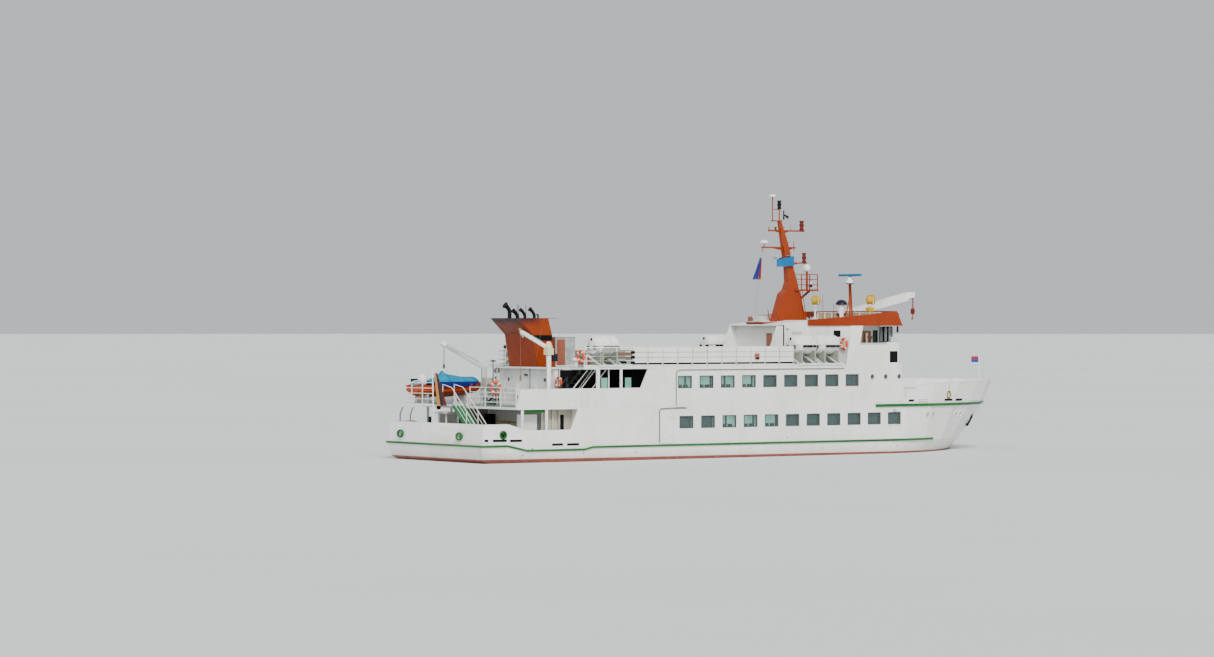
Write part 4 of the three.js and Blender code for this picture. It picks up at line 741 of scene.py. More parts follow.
# Ship's sides
def saloon_windows():
    """Gaskets, panes and what shows behind them: glowing backs painted as daylight from the far windows, dark
    backs painted as shade, and posts and seats in near-black as silhouettes in shade.
    """
    frames, panes, lit, dim, posts = meshes(5)
    bright = {"upper": (0, 1, 2, 3), "lower": (2, 3, 4)}
    post_at = {"upper": (0.12, 0.38, -0.12, 0.30), "lower": (0.36, 0.33, -0.14, 0.30, 0.40)}
    for row, places in (("upper", UPPER_ROW), ("lower", LOWER_ROW)):
        for i in range(places["count"]):
            for side in SIDES:
                x = places["first"] + places["pitch"] * i
                place = facing((x, side * HALF, places["z"]), (0, side, 0))
                w, h, deep = WINDOW["wide"] / 2, WINDOW["high"] / 2, WINDOW["deep"]
                window_frame(frames, place, 2 * w, 2 * h, 0.055, 0.07, 0.012)
                box(panes, (-w, -h, -0.05), (w, h, -0.042), place)
                # Lit and shaded copies of one interior: glowing backs are painted daylight, dark backs are
                # painted shade.
                back = lit if i in bright[row] else dim
                box(back, (-w, -h, -deep + 0.005), (w, h, -deep + 0.01), place)
                # Posts, and seats in the glowing windows, in near-black: painted shade, as silhouettes.
                across = (post_at[row] + (0.41,) * 11)[i] * -side
                box(posts, (across - 0.03, -h, -0.2), (across + 0.03, h, -0.09), place)
                for seat in (-0.24, 0.16) if i in bright[row] else ():
                    low, high = (seat - 0.14, -h, -0.22), (seat + 0.14, -h + 0.17, -0.14)
                    box(posts, low, high, place)
    piece("saloon_window_frames", frames, GASKET, bevel=0.006)
    piece("saloon_window_panes", panes, GLASS)
    piece("saloon_light_backs", lit, DAYLIGHT_GLOW)
    piece("saloon_shade_backs", dim, DIM)
    piece("saloon_posts_and_seats", posts, BLACK_AND_SHADE, bevel=0.01)


def port_lights(side_of_ship):
    """Three open lights by the bridge, and four with their pale covers shut at the bow."""
    rims, wells, covers = meshes(3)
    for x, z in PORT_LIGHTS:
        for side in SIDES:
            place = facing(*on_side(side_of_ship, x, z, side))
            hoop(rims, place, 0.165, 0.03, 28, 8, 1.5)
            well = wells if z > 3 else covers
            disc(well, place, 0.15, -0.01, 0.004, 24, 0.006)
            for turn in range(6):
                a = math.radians(60 * turn)
                ball(rims, place @ Vector((0.165 * math.cos(a), 0.165 * math.sin(a), 0.04)), 0.014, steps=6)
    piece("port_light_rims", rims, WHITE)
    piece("port_light_wells", wells, GASKET)
    piece("port_light_covers", covers, BEIGE_GREY)


def side_openings(side_of_ship):
    """Freeing ports and small outlets, their holes in near-black as painted shade, and the gate and grating
    at the foredeck.
    """
    lips, hole_shade, steps = meshes(3)
    for x0, x1, z in FREEING_PORTS:
        for side in SIDES:
            place = facing(*on_side(side_of_ship, (x0 + x1) / 2, z, side))
            window_frame(lips, place, x1 - x0, 0.11, 0.03, 0.01, 0.012)
            # Near-black plate over each freeing port: painted shade of the hole.
            box(hole_shade, ((x0 - x1) / 2, -0.065, -0.01), ((x1 - x0) / 2, 0.065, 0.014), place)
    for x, z in OUTLETS:
        for side in SIDES:
            place = facing(*on_side(side_of_ship, x, z, side))
            hoop(lips, place, 0.05, 0.014, 14, 6)
            # Near-black disc in each outlet: painted shade of its bore.
            disc(hole_shade, place, 0.045, -0.01, 0.006, 12)
    for side in SIDES:
        place = facing(*on_side(side_of_ship, 9.85, 3.45, side))
        window_frame(lips, place, 0.95, 0.74, 0.025, 0.01, 0.01)
        place = facing(*on_side(side_of_ship, 9.85, 3.82, side))
        box(steps, (-0.5, -0.02, -0.01), (0.5, 0.02, 0.09), place)
        place = facing(*on_side(side_of_ship, 10.85, 3.06, side))
        window_frame(steps, place, 0.78, 0.14, 0.03, 0.01, 0.07)
        for bar in range(7):
            at = -0.33 + 0.11 * bar
            box(steps, (at - 0.012, -0.06, 0.02), (at + 0.012, 0.06, 0.05), place)
    piece("freeing_port_lips", lips, WHITE)
    piece("side_openings", hole_shade, BLACK_AND_SHADE)
    piece("gate_ledges", steps, WHITE, bevel=0.004)


def fairleads(side_of_ship):
    """Oval rings round the rope holes aft, and the chafing rings that hang at the bow."""
    rings, hung = meshes(2)
    for y in (-2.65, 3.45):
        place = facing((-19.565, y, 1.43), (-1, 0, 0.092)) @ Matrix.Diagonal((1.3, 0.92, 1, 1))
        hoop(rings, place, 0.2, 0.052, 28, 10, 1.3)
    for side in SIDES:
        ahead, behind = (on_side(side_of_ship, -18.17 + dx, 1.53, side) for dx in (-0.24, 0.24))
        place = facing((ahead[0] + behind[0]) / 2, ahead[1])
        hoop(rings, place, 0.19, 0.05, 28, 10, 1.3)
        point, normal = on_side(side_of_ship, 13.09, 3.33, side)
        place = facing(point + normal * 0.03, normal) @ Matrix.Diagonal((0.8, 1.15, 1, 1))
        hoop(hung, place, 0.17, 0.042, 24, 8, 1.1)
        head = on_side(side_of_ship, 13.09, 3.98, side)[0] + normal * 0.03
        rod(hung, point + normal * 0.05 + Vector((0, 0, 0.2)), head, 0.012, 6)
    piece("fairlead_rings", rings, GREEN)
    piece("chafing_rings", hung, BANDED)


def side_pipes():
    """The pipe under the boat deck's edge, its drop beside the shell door, and the bar over the door."""
    lines, clips = meshes(2)
    for side in SIDES:
        y = side * (HALF + 0.03)
        drop = [(-6.55, y, 4.93), (-6.75, y, 4.86), (-6.82, y, 4.7), (-6.82, y, UPPER_DECK)]
        pipe(lines, [(5.0, y, 4.93)] + drop, 0.024)
        pipe(lines, [(-7.96, y, 0.95), (-7.96, y, 2.66), (-7.84, y, 2.8), (-6.3, y, 2.86)], 0.026)
        rod(lines, (-7.0, y, 2.82), (-6.1, y, 2.82), 0.03, 8)
        for i in range(8):
            x = 4.6 - 1.55 * i
            box(clips, (x - 0.02, side * (HALF - 0.002), 4.9), (x + 0.02, side * (HALF + 0.032), 4.96))
    piece("side_pipes", lines, WORN_PIPE)
    piece("side_pipe_clips", clips, WHITE)


def bow_cap():
    """The rounded capping on top of the bow bulwark."""
    bm = bmesh.new()
    stem, aft = 19.53, 8.6
    beam, fullness, shoulder = 4.865, 2.6, 0.6
    for side in SIDES:
        points = []
        for i in range(33):
            x = 9.7 + (stem - 9.7) * math.sin(i / 32 * math.pi / 2)
            y = max(0.05, beam * max(0, 1 - ((x - aft) / (stem - aft)) ** fullness) ** shoulder)
            points.append((x, side * y, between(SHEER, x) + 0.012))
        pipe(bm, points, 0.04)
    piece("bow_capping", bm, WHITE)


# Boat deck
def life_rafts():
    """Ribbed canisters with their seams and latches, in place of the plain ones."""
    half, radius = RAFTS["half"], RAFTS["radius"]
    ribs = [(0.0, -half), (0.22, -half), (0.40, 0.03 - half), (0.495, 0.085 - half), (0.528, 0.16 - half)]
    shoulder, valley, crest = ribs[::-1], 0.532, radius - 0.004
    for i in range(7):
        x = -0.51 + 0.17 * i
        ribs += [(valley, x - 0.05), (crest, x - 0.03), (crest, x + 0.03), (valley, x + 0.05)]
    ribs += [(r, -h) for r, h in shoulder]
    names = {-1: "starboard", 1: "port"}
    for number, x in enumerate(RAFTS["x"], 1):
        for side in SIDES:
            shell, latches = meshes(2)
            centre = Vector((x, side * RAFTS["y"], RAFTS["z"]))
            spun(shell, ribs, facing(centre, (1, 0, 0)), 40)
            box(shell, centre - Vector((0.78, 0.575, 0.022)), centre + Vector((0.78, 0.575, 0.022)))
            raft_latches(latches, centre)
            name = f"life_raft_{number}_{names[side]}"
            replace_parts(piece(name + "_shell", shell, SHELL, bevel=0.004), name)
            piece(name + "_latches", latches, RUBBER, bevel=0.006)


def raft_latches(bm, centre):
    """Rubber latches over the seam, and the boxes and caps on both ends."""
    for low, high in ((-0.34, -0.1), (-0.05, 0.34), (0.4, 0.6)):
        for face in SIDES:
            y = centre.y + face * 0.572
            box(bm, (centre.x + low, y - 0.04, centre.z - 0.16), (centre.x + high, y + 0.02, centre.z - 0.03))
    for end in SIDES:
        for face in SIDES:
            at = centre + Vector((end * 0.77, face * 0.3, -0.08))
            box(bm, at - Vector((0.05, 0.11, 0.13)), at + Vector((0.05, 0.11, 0.05)))
        rod(bm, centre + Vector((end * 0.75, 0, 0.33)), centre + Vector((end * 0.81, 0, 0.33)), 0.08, 12)


def raft_ramps():
    """Launching ramps under the rafts: two sloping rails, their posts and the stop at the deck's edge."""
    bm = bmesh.new()
    for x in RAFTS["x"]:
        for side in SIDES:
            for dx in (-0.72, -0.36, 0.36, 0.72):
                head, foot = Vector((x + dx, side * RAMP_HEAD, 5.82)), Vector((x + dx, side * 4.95, 5.2))
                place = facing((head + foot) / 2, foot - head)
                reach = (foot - head).length / 2
                box(bm, (-0.03, -0.045, -reach), (0.03, 0.045, reach), place)
            near, far = side * RAMP_HEAD - 0.03, side * RAMP_HEAD + 0.03
            for dx in (-0.72, 0.72):
                box(bm, (x + dx - 0.03, near, BOAT_DECK), (x + dx + 0.03, far, 5.83))
            box(bm, (x - 0.75, near, 5.77), (x + 0.75, far, 5.83))
            box(bm, (x - 0.75, side * 4.9, 5.14), (x + 0.75, side * 4.955, 5.24))
    piece("raft_ramps", bm, WHITE, bevel=0.006)


def dodger_bars():
    """Posts and bars before the dodgers, in grey-beige as painted shade, the top rails, and a near-black
    strip of painted shade in the gap at the deck's edge.
    """
    bars, tops, gap_shade = meshes(3)
    for side in SIDES:
        y = side * (HALF - 0.02)
        for i in range(12):
            x = -9.7 + 1.009 * i
            rod(bars, (x, y, BOAT_DECK), (x, y, RAIL_TOP - 0.01), 0.018, 6)
        for z in (5.64, 5.92):
            rod(bars, (-9.7, y, z), (1.4, y, z), 0.013, 6)
        # Near-black strip under the dodgers: painted shade in the gap.
        box(gap_shade, (-9.68, side * 4.79, 5.18), (1.4, side * 4.8, 5.37))
        pipe(tops, [(-12.93, side * (HALF - 0.055), RAIL_TOP), (1.42, side * (HALF - 0.055), RAIL_TOP)], 0.03)
    # Grey-beige bars: painted shade, as they stand dark against the white dodgers.
    piece("dodger_bars", bars, BEIGE_GREY)
    piece("boat_deck_top_rails", tops, WHITE)
    piece("dodger_gap_shade", gap_shade, BLACK_AND_SHADE)


def lifebuoy(rings, bands, place, radius=0.29):
    hoop(rings, place, radius, 0.08, 28, 10, 0.75)
    for turn in range(4):
        a = math.radians(45 + 90 * turn)
        way = Vector((-math.sin(a), math.cos(a), 0))
        at = Vector((radius * math.cos(a), radius * math.sin(a), 0))
        where = place @ Matrix.Translation(at) @ way.to_track_quat("Z", "Y").to_matrix().to_4x4()
        disc(bands, where, 0.087, -0.03, 0.03, 12)


def lifebuoys():
    """Lifebuoys at the stern, by the rails and under the bridge."""
    rings, bands = meshes(2)
    lifebuoy(rings, bands, facing((-17.16, -2.6, 4.0), (-0.96, -0.28, 0)), 0.31)
    lifebuoy(rings, bands, facing((-13.06, -4.72, 5.7), (-1, 0, 0)), 0.29)
    lifebuoy(rings, bands, facing((-13.56, -3.3, 4.28), (-1, 0, 0)), 0.25)
    for side in SIDES:
        lifebuoy(rings, bands, facing((5.22, side * 4.6, 6.33), (-1, 0, 0)), 0.28)
        rod(bands, (5.2, side * 4.6, 6.62), (5.43, side * 4.6, 6.62), 0.015, 6)
        lifebuoy(rings, bands, facing((9.62, side * 2.0, 4.35), (1, 0, 0)))
    piece("lifebuoy_rings", rings, BUOY)
    piece("lifebuoy_bands", bands, WHITE)


def benches():
    """Wooden slats on the seats and backs of the benches."""
    slats, half = bmesh.new(), BENCHES["half"]
    for x in BENCHES["x"]:
        for y in BENCHES["y"]:
            for face in SIDES:
                for i in range(3):
                    at = x + face * (0.095 + 0.125 * i)
                    box(slats, (at - 0.055, y - half, 5.548), (at + 0.055, y + half, 5.568))
                for i in range(3):
                    z = 5.61 + 0.125 * i
                    box(slats, (x + face * 0.018, y - half, z), (x + face * 0.034, y + half, z + 0.095))
    piece("bench_slats", slats, SLATS, bevel=0.004)


def deck_boxes():
    """Doors and lids on the boat deck's lockers, handles, and mushroom ventilators."""
    tops, doors, handles, vents, bits = meshes(5)
    lockers = [(-11.4, 0.0, 0.65, 0.75, 6.74)]
    lockers += [(x, side * 0.5, 0.25, 0.45, 5.70) for x in (-9.3, 0.9) for side in SIDES]
    for x, y, long, wide, top in lockers:
        lid = (long + 0.03, wide + 0.03)
        box(tops, (x - lid[0], y - lid[1], top - 0.01), (x + lid[0], y + lid[1], top + 0.03))
        for face in SIDES:
            for leaf in (-0.5, 0.5):
                low = (x + face * long - 0.014, y + leaf * wide - 0.42 * wide, BOAT_DECK + 0.08)
                box(doors, low, (x + face * long + 0.014, y + leaf * wide + 0.42 * wide, top - 0.08))
                at = Vector((x + face * (long + 0.03), y + leaf * 0.24 * wide, (BOAT_DECK + top) / 2))
                box(handles, at - Vector((0.015, 0.02, 0.07)), at + Vector((0.015, 0.02, 0.07)))
    for x, y in [(-12.4, -3.3), (-12.4, 3.3), (0.2, -3.7), (0.2, 3.7), (1.9, -1.5), (1.9, 1.5)]:
        turned(vents, x, y, MUSHROOM, 18, BOAT_DECK)
    for side in SIDES:
        box(doors, (-11.98, side * 0.745, BOAT_DECK + 0.08), (-11.42, side * 0.765, 6.62))
        for z in (5.36, 5.66, 5.93):
            box(bits, (-9.82, side * 4.83, z - 0.09), (-9.58, side * 4.9, z + 0.07))
    box(doors, (-1.36, -4.94, 5.5), (-1.06, -4.86, 5.82))
    box(bits, (-1.3, -4.95, 5.48), (-1.1, -4.85, 5.6))
    piece("rail_bits", bits, BLACK_AND_SHADE, bevel=0.008)
    piece("locker_tops", tops, GREY, bevel=0.01)
    piece("locker_doors", doors, RUST_RED, bevel=0.006)
    piece("locker_handles", handles, STEEL, bevel=0.005)
    piece("mushroom_vents", vents, WHITE)


def house_screens():
    """Raked wind screens at the deckhouse's after end, its doors, lamps and the hatch on its roof."""
    screens, doors, hatch, tins, brown, flood = meshes(6)
    for side in SIDES:
        y = side * 2.3
        outline = [(2.7, y, 7.42), (2.2, y, 7.42), (1.72, y, 6.25), (1.72, y, BOAT_DECK), (2.7, y, BOAT_DECK)]
        plate(screens, outline, (0, -side * 0.06, 0))
        box(doors, (3.25, y - 0.025, 5.2), (3.95, y + 0.025, 7.05))
        box(tins, (3.9, y - 0.05, 6.1), (3.97, y + 0.05, 6.2))
        box(doors, (4.35, y - 0.02, 6.35), (4.85, y + 0.02, 6.85))
        for x in (2.9, 4.6):
            box(tins, (x - 0.1, y - 0.09, 7.16), (x + 0.1, y + 0.09, 7.26))
    box(brown, (2.575, -1.25, 5.16), (2.605, -0.72, 6.95))
    ball(flood, (4.88, -2.45, 7.2), 0.2, (1.15, 0.8, 0.45), 14)
    rod(flood, (4.88, -2.45, 7.2), (4.88, -2.28, 7.25), 0.05, 8)
    box(hatch, (2.25, -0.75, 7.44), (3.05, 0.75, 7.55))
    box(hatch, (2.2, -0.8, 7.53), (3.1, 0.8, 7.59))
    piece("deckhouse_brown_door", brown, RUST_RED, bevel=0.008)
    piece("deckhouse_flood", flood, YELLOW)
    piece("house_screens", screens, WHITE, bevel=0.008)
    piece("deckhouse_doors", doors, GREY, bevel=0.01)
    piece("deckhouse_lamps", tins, LAMP_GLASS, bevel=0.01)
    piece("roof_hatch", hatch, ORANGE, bevel=0.012)


# Funnel and stern
def funnel_fittings():
    """The louvre band in near-black, partly painted shade in the gap under the flared top, seams of the after
    doors, rungs, whistle and the lip's thin flange.
    """
    slats, seams, rungs, horn = meshes(4)
    for side in SIDES:
        y = side * FUNNEL_HALF
        # Near-black band and slats: a louvre, and painted shade under the flared top.
        box(slats, (-13.95, y, 6.56), (-12.74, y + side * 0.012, 6.86))
        for i in range(4):
            box(slats, (-13.93, y, 6.59 + 0.07 * i), (-12.76, y + side * 0.03, 6.6 + 0.07 * i))
        box(seams, (-13.02, y - side * 0.2, 7.775), (-12.45, y + side * 0.02, 7.8))
        for x, z0, z1 in ((-13.55, 5.2, 6.5), (-13.0, 5.2, 6.5)):
            box(seams, (x - 0.012, y, z0), (x + 0.012, y + side * 0.006, z1))
    for i in range(7):
        z = 5.35 + 0.28 * i
        x = -12.55 + (z - BOAT_DECK) * -0.14
        rung(rungs, x, x + 0.14, 0, 0.2, z, 0.014)
    rod(horn, (-14.2, -0.75, 6.75), (-14.42, -0.75, 7.25), 0.05, 12, 0.085)
    rod(horn, (-14.28, -0.75, 6.9), (-14.05, -0.75, 6.85), 0.025, 8)
    piece("funnel_louvres_and_shade", slats, BLACK_AND_SHADE)
    piece("funnel_seams", seams, FUNNEL_ORANGE)
    piece("funnel_rungs", rungs, ORANGE)
    piece("whistle", horn, PALE_YELLOW)


def funnel_pipes():
    """The exhaust pipes on their plate: straight risers, smooth bends and flared mouths."""
    bm = bmesh.new()
    box(bm, (-14.4, -1.1, 7.7), (-13.3, 1.1, 7.74))
    for x, y, bend, radius, head in [
        (-14.12, 0.75, 8.3, 0.11, 0.19),
        (-14.05, 0.05, 8.0, 0.1, 0.13),
        (-13.76, -0.25, 8.05, 0.085, 0.11),
        (-13.5, -0.8, 8.08, 0.085, 0.125),
    ]:
        points = [(x, y, 7.73), (x, y, bend - 0.12), (x - 0.06, y, bend), (x - 0.17, y, bend + 0.13)]
        pipe(bm, points, radius, 14)
        ball(bm, points[-1], radius * 1.01, steps=14)
        rod(bm, points[-1], (x - 0.3, y, bend + 0.22), radius, 18, head)
        hoop(bm, facing((x - 0.3, y, bend + 0.22), (-0.13, 0, 0.09)), head - 0.015, 0.02, 18, 6)
    for x, y in [(-14.3, -0.45), (-13.85, 0.4), (-13.4, 0.2)]:
        rod(bm, (x, y, 7.73), (x, y, 8.55), 0.014, 6)
    for x in (-13.45, -13.38):
        pipe(bm, [(x, -1.05, 7.73), (x, -1.05, 7.95), (x - 0.08, -1.05, 8.03)], 0.025, 8)
    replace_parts(piece("funnel_pipes", bm, BLACK), "exhaust_pipes")


# Bridge
def bridge_windows():
    """Glass and dark frames in the wheelhouse, the wings' after walls and the bridge doors."""
    frames, panes, nets, blanks, clear = meshes(5)
    places = [(facing((9.325, y, PANE_MIDDLE), (1, 0, -0.115)), 0.8) for y in (-1.9, -0.95, 0, 0.95, 1.9)]
    for side in SIDES:
        for x0, x1 in ((5.55, 6.35), (6.5, 7.25), (8.26, 8.55)):
            places.append((facing(((x0 + x1) / 2, side * 3.5, PANE_MIDDLE), (0, side, 0)), x1 - x0))
        places.append((facing((9.02, side * 2.95, PANE_MIDDLE), (0.86, side * 0.5, -0.1)), 0.8))
        after = facing((5.17, side * 4.05, 6.85), (-0.919, side * 0.394, 0))
        box(blanks, (-0.42, -0.29, -0.03), (0.42, 0.29, 0.004), after)
        window_frame(frames, after @ Matrix.Translation((0, 0.07, 0.004)), 0.42, 0.34, 0.03, 0.004, 0.014)
        box(nets, (-0.21, -0.1, 0.0), (0.21, 0.24, 0.012), after)
        for y0, y1 in ((3.06, 3.54), (3.62, 3.94), (4.02, 4.36)):
            place = facing((8.98, side * (y0 + y1) / 2, 6.88), (1, 0, 0))
            window_frame(frames, place, y1 - y0, 0.86, 0.05, 0.04, 0.014)
            box(clear, ((y0 - y1) / 2, -0.43, -0.02), ((y1 - y0) / 2, 0.43, -0.01), place)
        box(nets, (8.34, side * 4.835, 5.23), (8.99, side * 4.85, 5.93))
        for i in range(5):
            box(nets, (8.36, side * 4.85, 5.3 + 0.12 * i), (8.97, side * 4.862, 5.312 + 0.12 * i))
    for place, wide in places:
        window_frame(frames, place, wide, PANE_HIGH, 0.06, 0.09, 0.014)
        box(panes, (-wide / 2, -PANE_HIGH / 2, -0.055), (wide / 2, PANE_HIGH / 2, -0.045), place)
    piece("bridge_window_frames", frames, RUBBER, bevel=0.006)
    piece("bridge_window_panes", panes, DARK_GLASS)
    piece("wing_nets", nets, BLACK_AND_SHADE)
    piece("wing_blanks", blanks, WHITE, bevel=0.004)
    piece("wing_screens", clear, LAMP_GLASS)
    for side, name in ((-1, "starboard"), (1, "port")):
        pane, latch = meshes(2)
        place = facing((7.775, side * 3.475, 6.5), (0, side, 0))
        window_frame(latch, place @ Matrix.Translation((0, 0.07, 0)), 0.24, 0.84, 0.08, 0.015, 0.05)
        # A pale pane that glows faintly: painted light.
        box(pane, (-0.125, -0.36, 0.026), (0.125, 0.5, 0.042), place)
        for start, end, radius in [
            ((side * -0.22, -0.55, 0.02), (side * -0.22, -0.55, 0.09), 0.016),
            ((side * -0.27, -0.55, 0.08), (side * -0.14, -0.55, 0.08), 0.014),
        ]:
            rod(latch, place @ Vector(start), place @ Vector(end), radius)
        body = f"bridge_door_{name}"
        piece(f"bridge_door_pane_{name}", pane, PANE_GLOW, body)
        piece(f"bridge_door_trim_{name}", latch, WOOD, body, bevel=0.004)


def bridge_fittings():
    """Side lights, mirrors, handrails and lamps on the wings, and gear on the console."""
    red, green, screens, rails, dark, wheel = meshes(6)
    for side, glass in ((-1, green), (1, red)):
        y = side * 4.9
        near, far = sorted((y - side * 0.36, y - side * 0.06))
        box(screens, (8.5, near, 6.43), (9.02, far, 6.46))
        box(screens, (8.5, near, 6.46), (9.02, near + 0.02, 6.72))
        rod(glass, (8.86, y - side * 0.2, 6.46), (8.86, y - side * 0.2, 6.66), 0.07, 16)
        rod(dark, (8.86, y - side * 0.2, 6.66), (8.86, y - side * 0.2, 6.7), 0.085, 16)
        pipe(rails, [(6.2, y - side * 0.035, 6.36), (8.13, y - side * 0.035, 6.36)], 0.022)
        box(dark, (8.98, y - side * 0.16, 6.98), (9.12, y - side * 0.13, 7.34))
        rod(dark, (9.03, y - side * 0.15, 7.3), (9.03, y - side * 0.15, 7.4), 0.015, 6)
        for x in (6.6, 8.1):
            rod(rails, (x, y - side * 0.5, 7.31), (x, y - side * 0.5, 7.37), 0.1, 14)
    for y in (-1.2, -0.4, 0.4, 1.2):
        box(dark, (8.1, y - 0.3, 6.02), (8.16, y + 0.3, 6.4), Matrix.Translation((0.25, 0, 0.05)))
    for y in (-1.0, 0.0, 1.0):
        for i in range(4):
            ball(screens, (7.9 + 0.03 * i, y - 0.18 + 0.12 * i, 6.03), 0.022, steps=6)
    hoop(wheel, facing((7.6, 0, 5.95), (-0.9, 0, 0.4)), 0.21, 0.016, 24, 6)
    rod(wheel, (7.6, 0, 5.95), (7.82, 0, 5.86), 0.03, 8)
    piece("side_light_red", red, RED_GLASS)
    piece("side_light_green", green, GREEN_GLASS)
    piece("side_light_screens", screens, GREY, bevel=0.003)
    piece("wing_handrails", rails, WHITE)
    piece("bridge_instruments", dark, RUBBER, bevel=0.006)
    piece("steering_wheel", wheel, WOOD)


def roof_fittings():
    """The fascia's lining and rail, and vents, aerials and searchlight feet on the roofs."""
    lining, rails, whips, bits, yellow = meshes(5)
    for side in SIDES:
        outline = [(5.5, 4.8, 7.46), (8.85, 4.8, 7.46), (8.72, 4.8, 8.17), (5.5, 4.8, 7.88)]
        plate(lining, [(x, side * y, z) for x, y, z in outline], (0, -side * 0.03, 0))
        for i in range(5):
            x = 5.7 + 0.75 * i
            top = 7.9 + (x - 5.5) * 0.09
            box(rails, (x - 0.025, side * 4.74, 7.46), (x + 0.025, side * 4.775, top))
        for i in range(7):
            y = side * (0.3 + 0.68 * i)
            box(rails, (9.24, y - 0.025, 7.46), (9.275, y + 0.025, 8.12))
        box(yellow, (8.55, side * 2.78, ROOF), (8.93, side * 2.42, 7.56 if side > 0 else 7.62))
    box(yellow, (8.56, -2.8, 8.2), (8.92, -2.4, 8.44))
    box(lining, (9.28, -4.6, 7.46), (9.31, 4.6, 8.12))
    rod(rails, (9.28, -4.6, 8.14), (9.28, 4.6, 8.14), 0.025, 8)
    for x, y, foot, head in [
        (6.35, -1.2, ROOF, 9.2),
        (3.15, -0.9, 7.55, 8.35),
        (7.4, 2.2, ROOF, 9.0),
        (9.2, 1.4, ROOF, 8.7),
    ]:
        rod(whips, (x, y, foot), (x, y, foot + 0.25), 0.028, 8)
        rod(whips, (x, y, foot + 0.24), (x, y, head), 0.013, 6)
    for x, y in [(6.9, 1.2), (7.9, -1.4), (7.9, 1.6)]:
        turned(bits, x, y, ROOF_VENT, foot=ROOF)
    box(bits, (3.3, 0.9, 7.6), (3.9, 1.5, 7.95))
    piece("fascia_lining", lining, BEIGE, bevel=0.004)
    piece("roof_rails", rails, WHITE)
    piece("whip_aerials", whips, ORANGE)
    piece("roof_vents", bits, GREY, bevel=0.008)
    piece("searchlight_feet", yellow, YELLOW, bevel=0.01)


def searchlight_parts():
    """Rims and spokes, lenses, yokes and stands of both searchlights."""
    rims, glass, yokes = meshes(3)
    for side in SIDES:
        x, y, z = SEARCHLIGHT[0], side * SEARCHLIGHT[1], SEARCHLIGHT[2]
        for at in (-0.05, 0.1, 0.2):
            hoop(rims, facing((x + at, y, z), (1, 0, 0)), 0.274, 0.016, 28, 6)
        for turn in range(6):
            a = math.radians(30 + 60 * turn)
            way = Vector((0, math.cos(a), math.sin(a)))
            rod(rims, Vector((x - 0.2, y, z)) + way * 0.16, Vector((x - 0.05, y, z)) + way * 0.272, 0.012, 6)
        lens = [(0, 0.212), (0.255, 0.205), (0.255, 0.219), (0, 0.232)]
        spun(glass, lens, facing((x, y, z), (1, 0, 0)), 24)
        turned(yokes, x, y, LAMP_YOKE)
        for face in SIDES:
            arm = y + face * 0.31
            pipe(yokes, [(x, y + face * 0.05, 8.56), (x, arm, 8.66), (x, arm, z)], 0.022, 6)
        turned(yokes, x, y, LAMP_STAND, 14)
    piece("searchlight_rims", rims, DARK_YELLOW)
    piece("searchlight_glass", glass, LAMP_GLASS)
    piece("searchlight_yokes", yokes, WHITE)


def compass_parts():
    """The compass on the roof: its stand, hood and side spheres."""
    x = COMPASS_X
    body, hood, red = meshes(3)
    turned(body, x, 0, COMPASS_STAND, 24)
    turned(hood, x, 0, COMPASS_HOOD, 24)
    for side in SIDES:
        ball(red, (x, side * 0.36, 8.05), 0.1, steps=14)
        rod(red, (x, side * 0.2, 8.05), (x, side * 0.3, 8.05), 0.03, 8)
    box(red, (x - 0.24, -0.07, 7.85), (x - 0.2, 0.07, 8.1))
    piece("compass_stand", body, WHITE)
    piece("compass_hood", hood, NIGHT_BLUE)
    piece("compass_spheres", red, DARK_RED)


def radar_parts():
    """The radar's drive and flange, and the face and ends of its scanner."""
    unit, ring, face = meshes(3)
    turned(unit, RADAR_X, RADAR_Y, RADAR_DRIVE, 22)
    disc(ring, Matrix.Translation((RADAR_X, RADAR_Y, 0)), 0.235, 9.82, 9.874, 22)
    box(face, (RADAR_X - 0.082, RADAR_Y - 0.32, 10.29), (RADAR_X + 0.082, RADAR_Y + 0.32, 10.405))
    for end in (RADAR_Y - 1, RADAR_Y + 1):
        box(face, (RADAR_X - 0.08, end - 0.01, 10.285), (RADAR_X + 0.08, end + 0.01, 10.405))
    piece("radar_drive", unit, WHITE)
    piece("radar_flange", ring, RUBBER)
    piece("scanner_face", face, TEAL, "radar_scanner", bevel=0.004)


# Mast
def stacked_lamp(caps, lenses, x, foot, head, radius, lights):
    """Lights one above another on one spindle, with caps between them."""
    at, step = Matrix.Translation((x, 0, 0)), (head - foot) / lights
    for i in range(lights):
        z = foot + step * i
        disc(lenses, at, radius + 0.006, z, z + step, 14)
        for low, high in ((-0.02, 0.22), (0.78, 1.02)):
            disc(caps, at, radius + 0.035, z + low * step, z + high * step, 14)


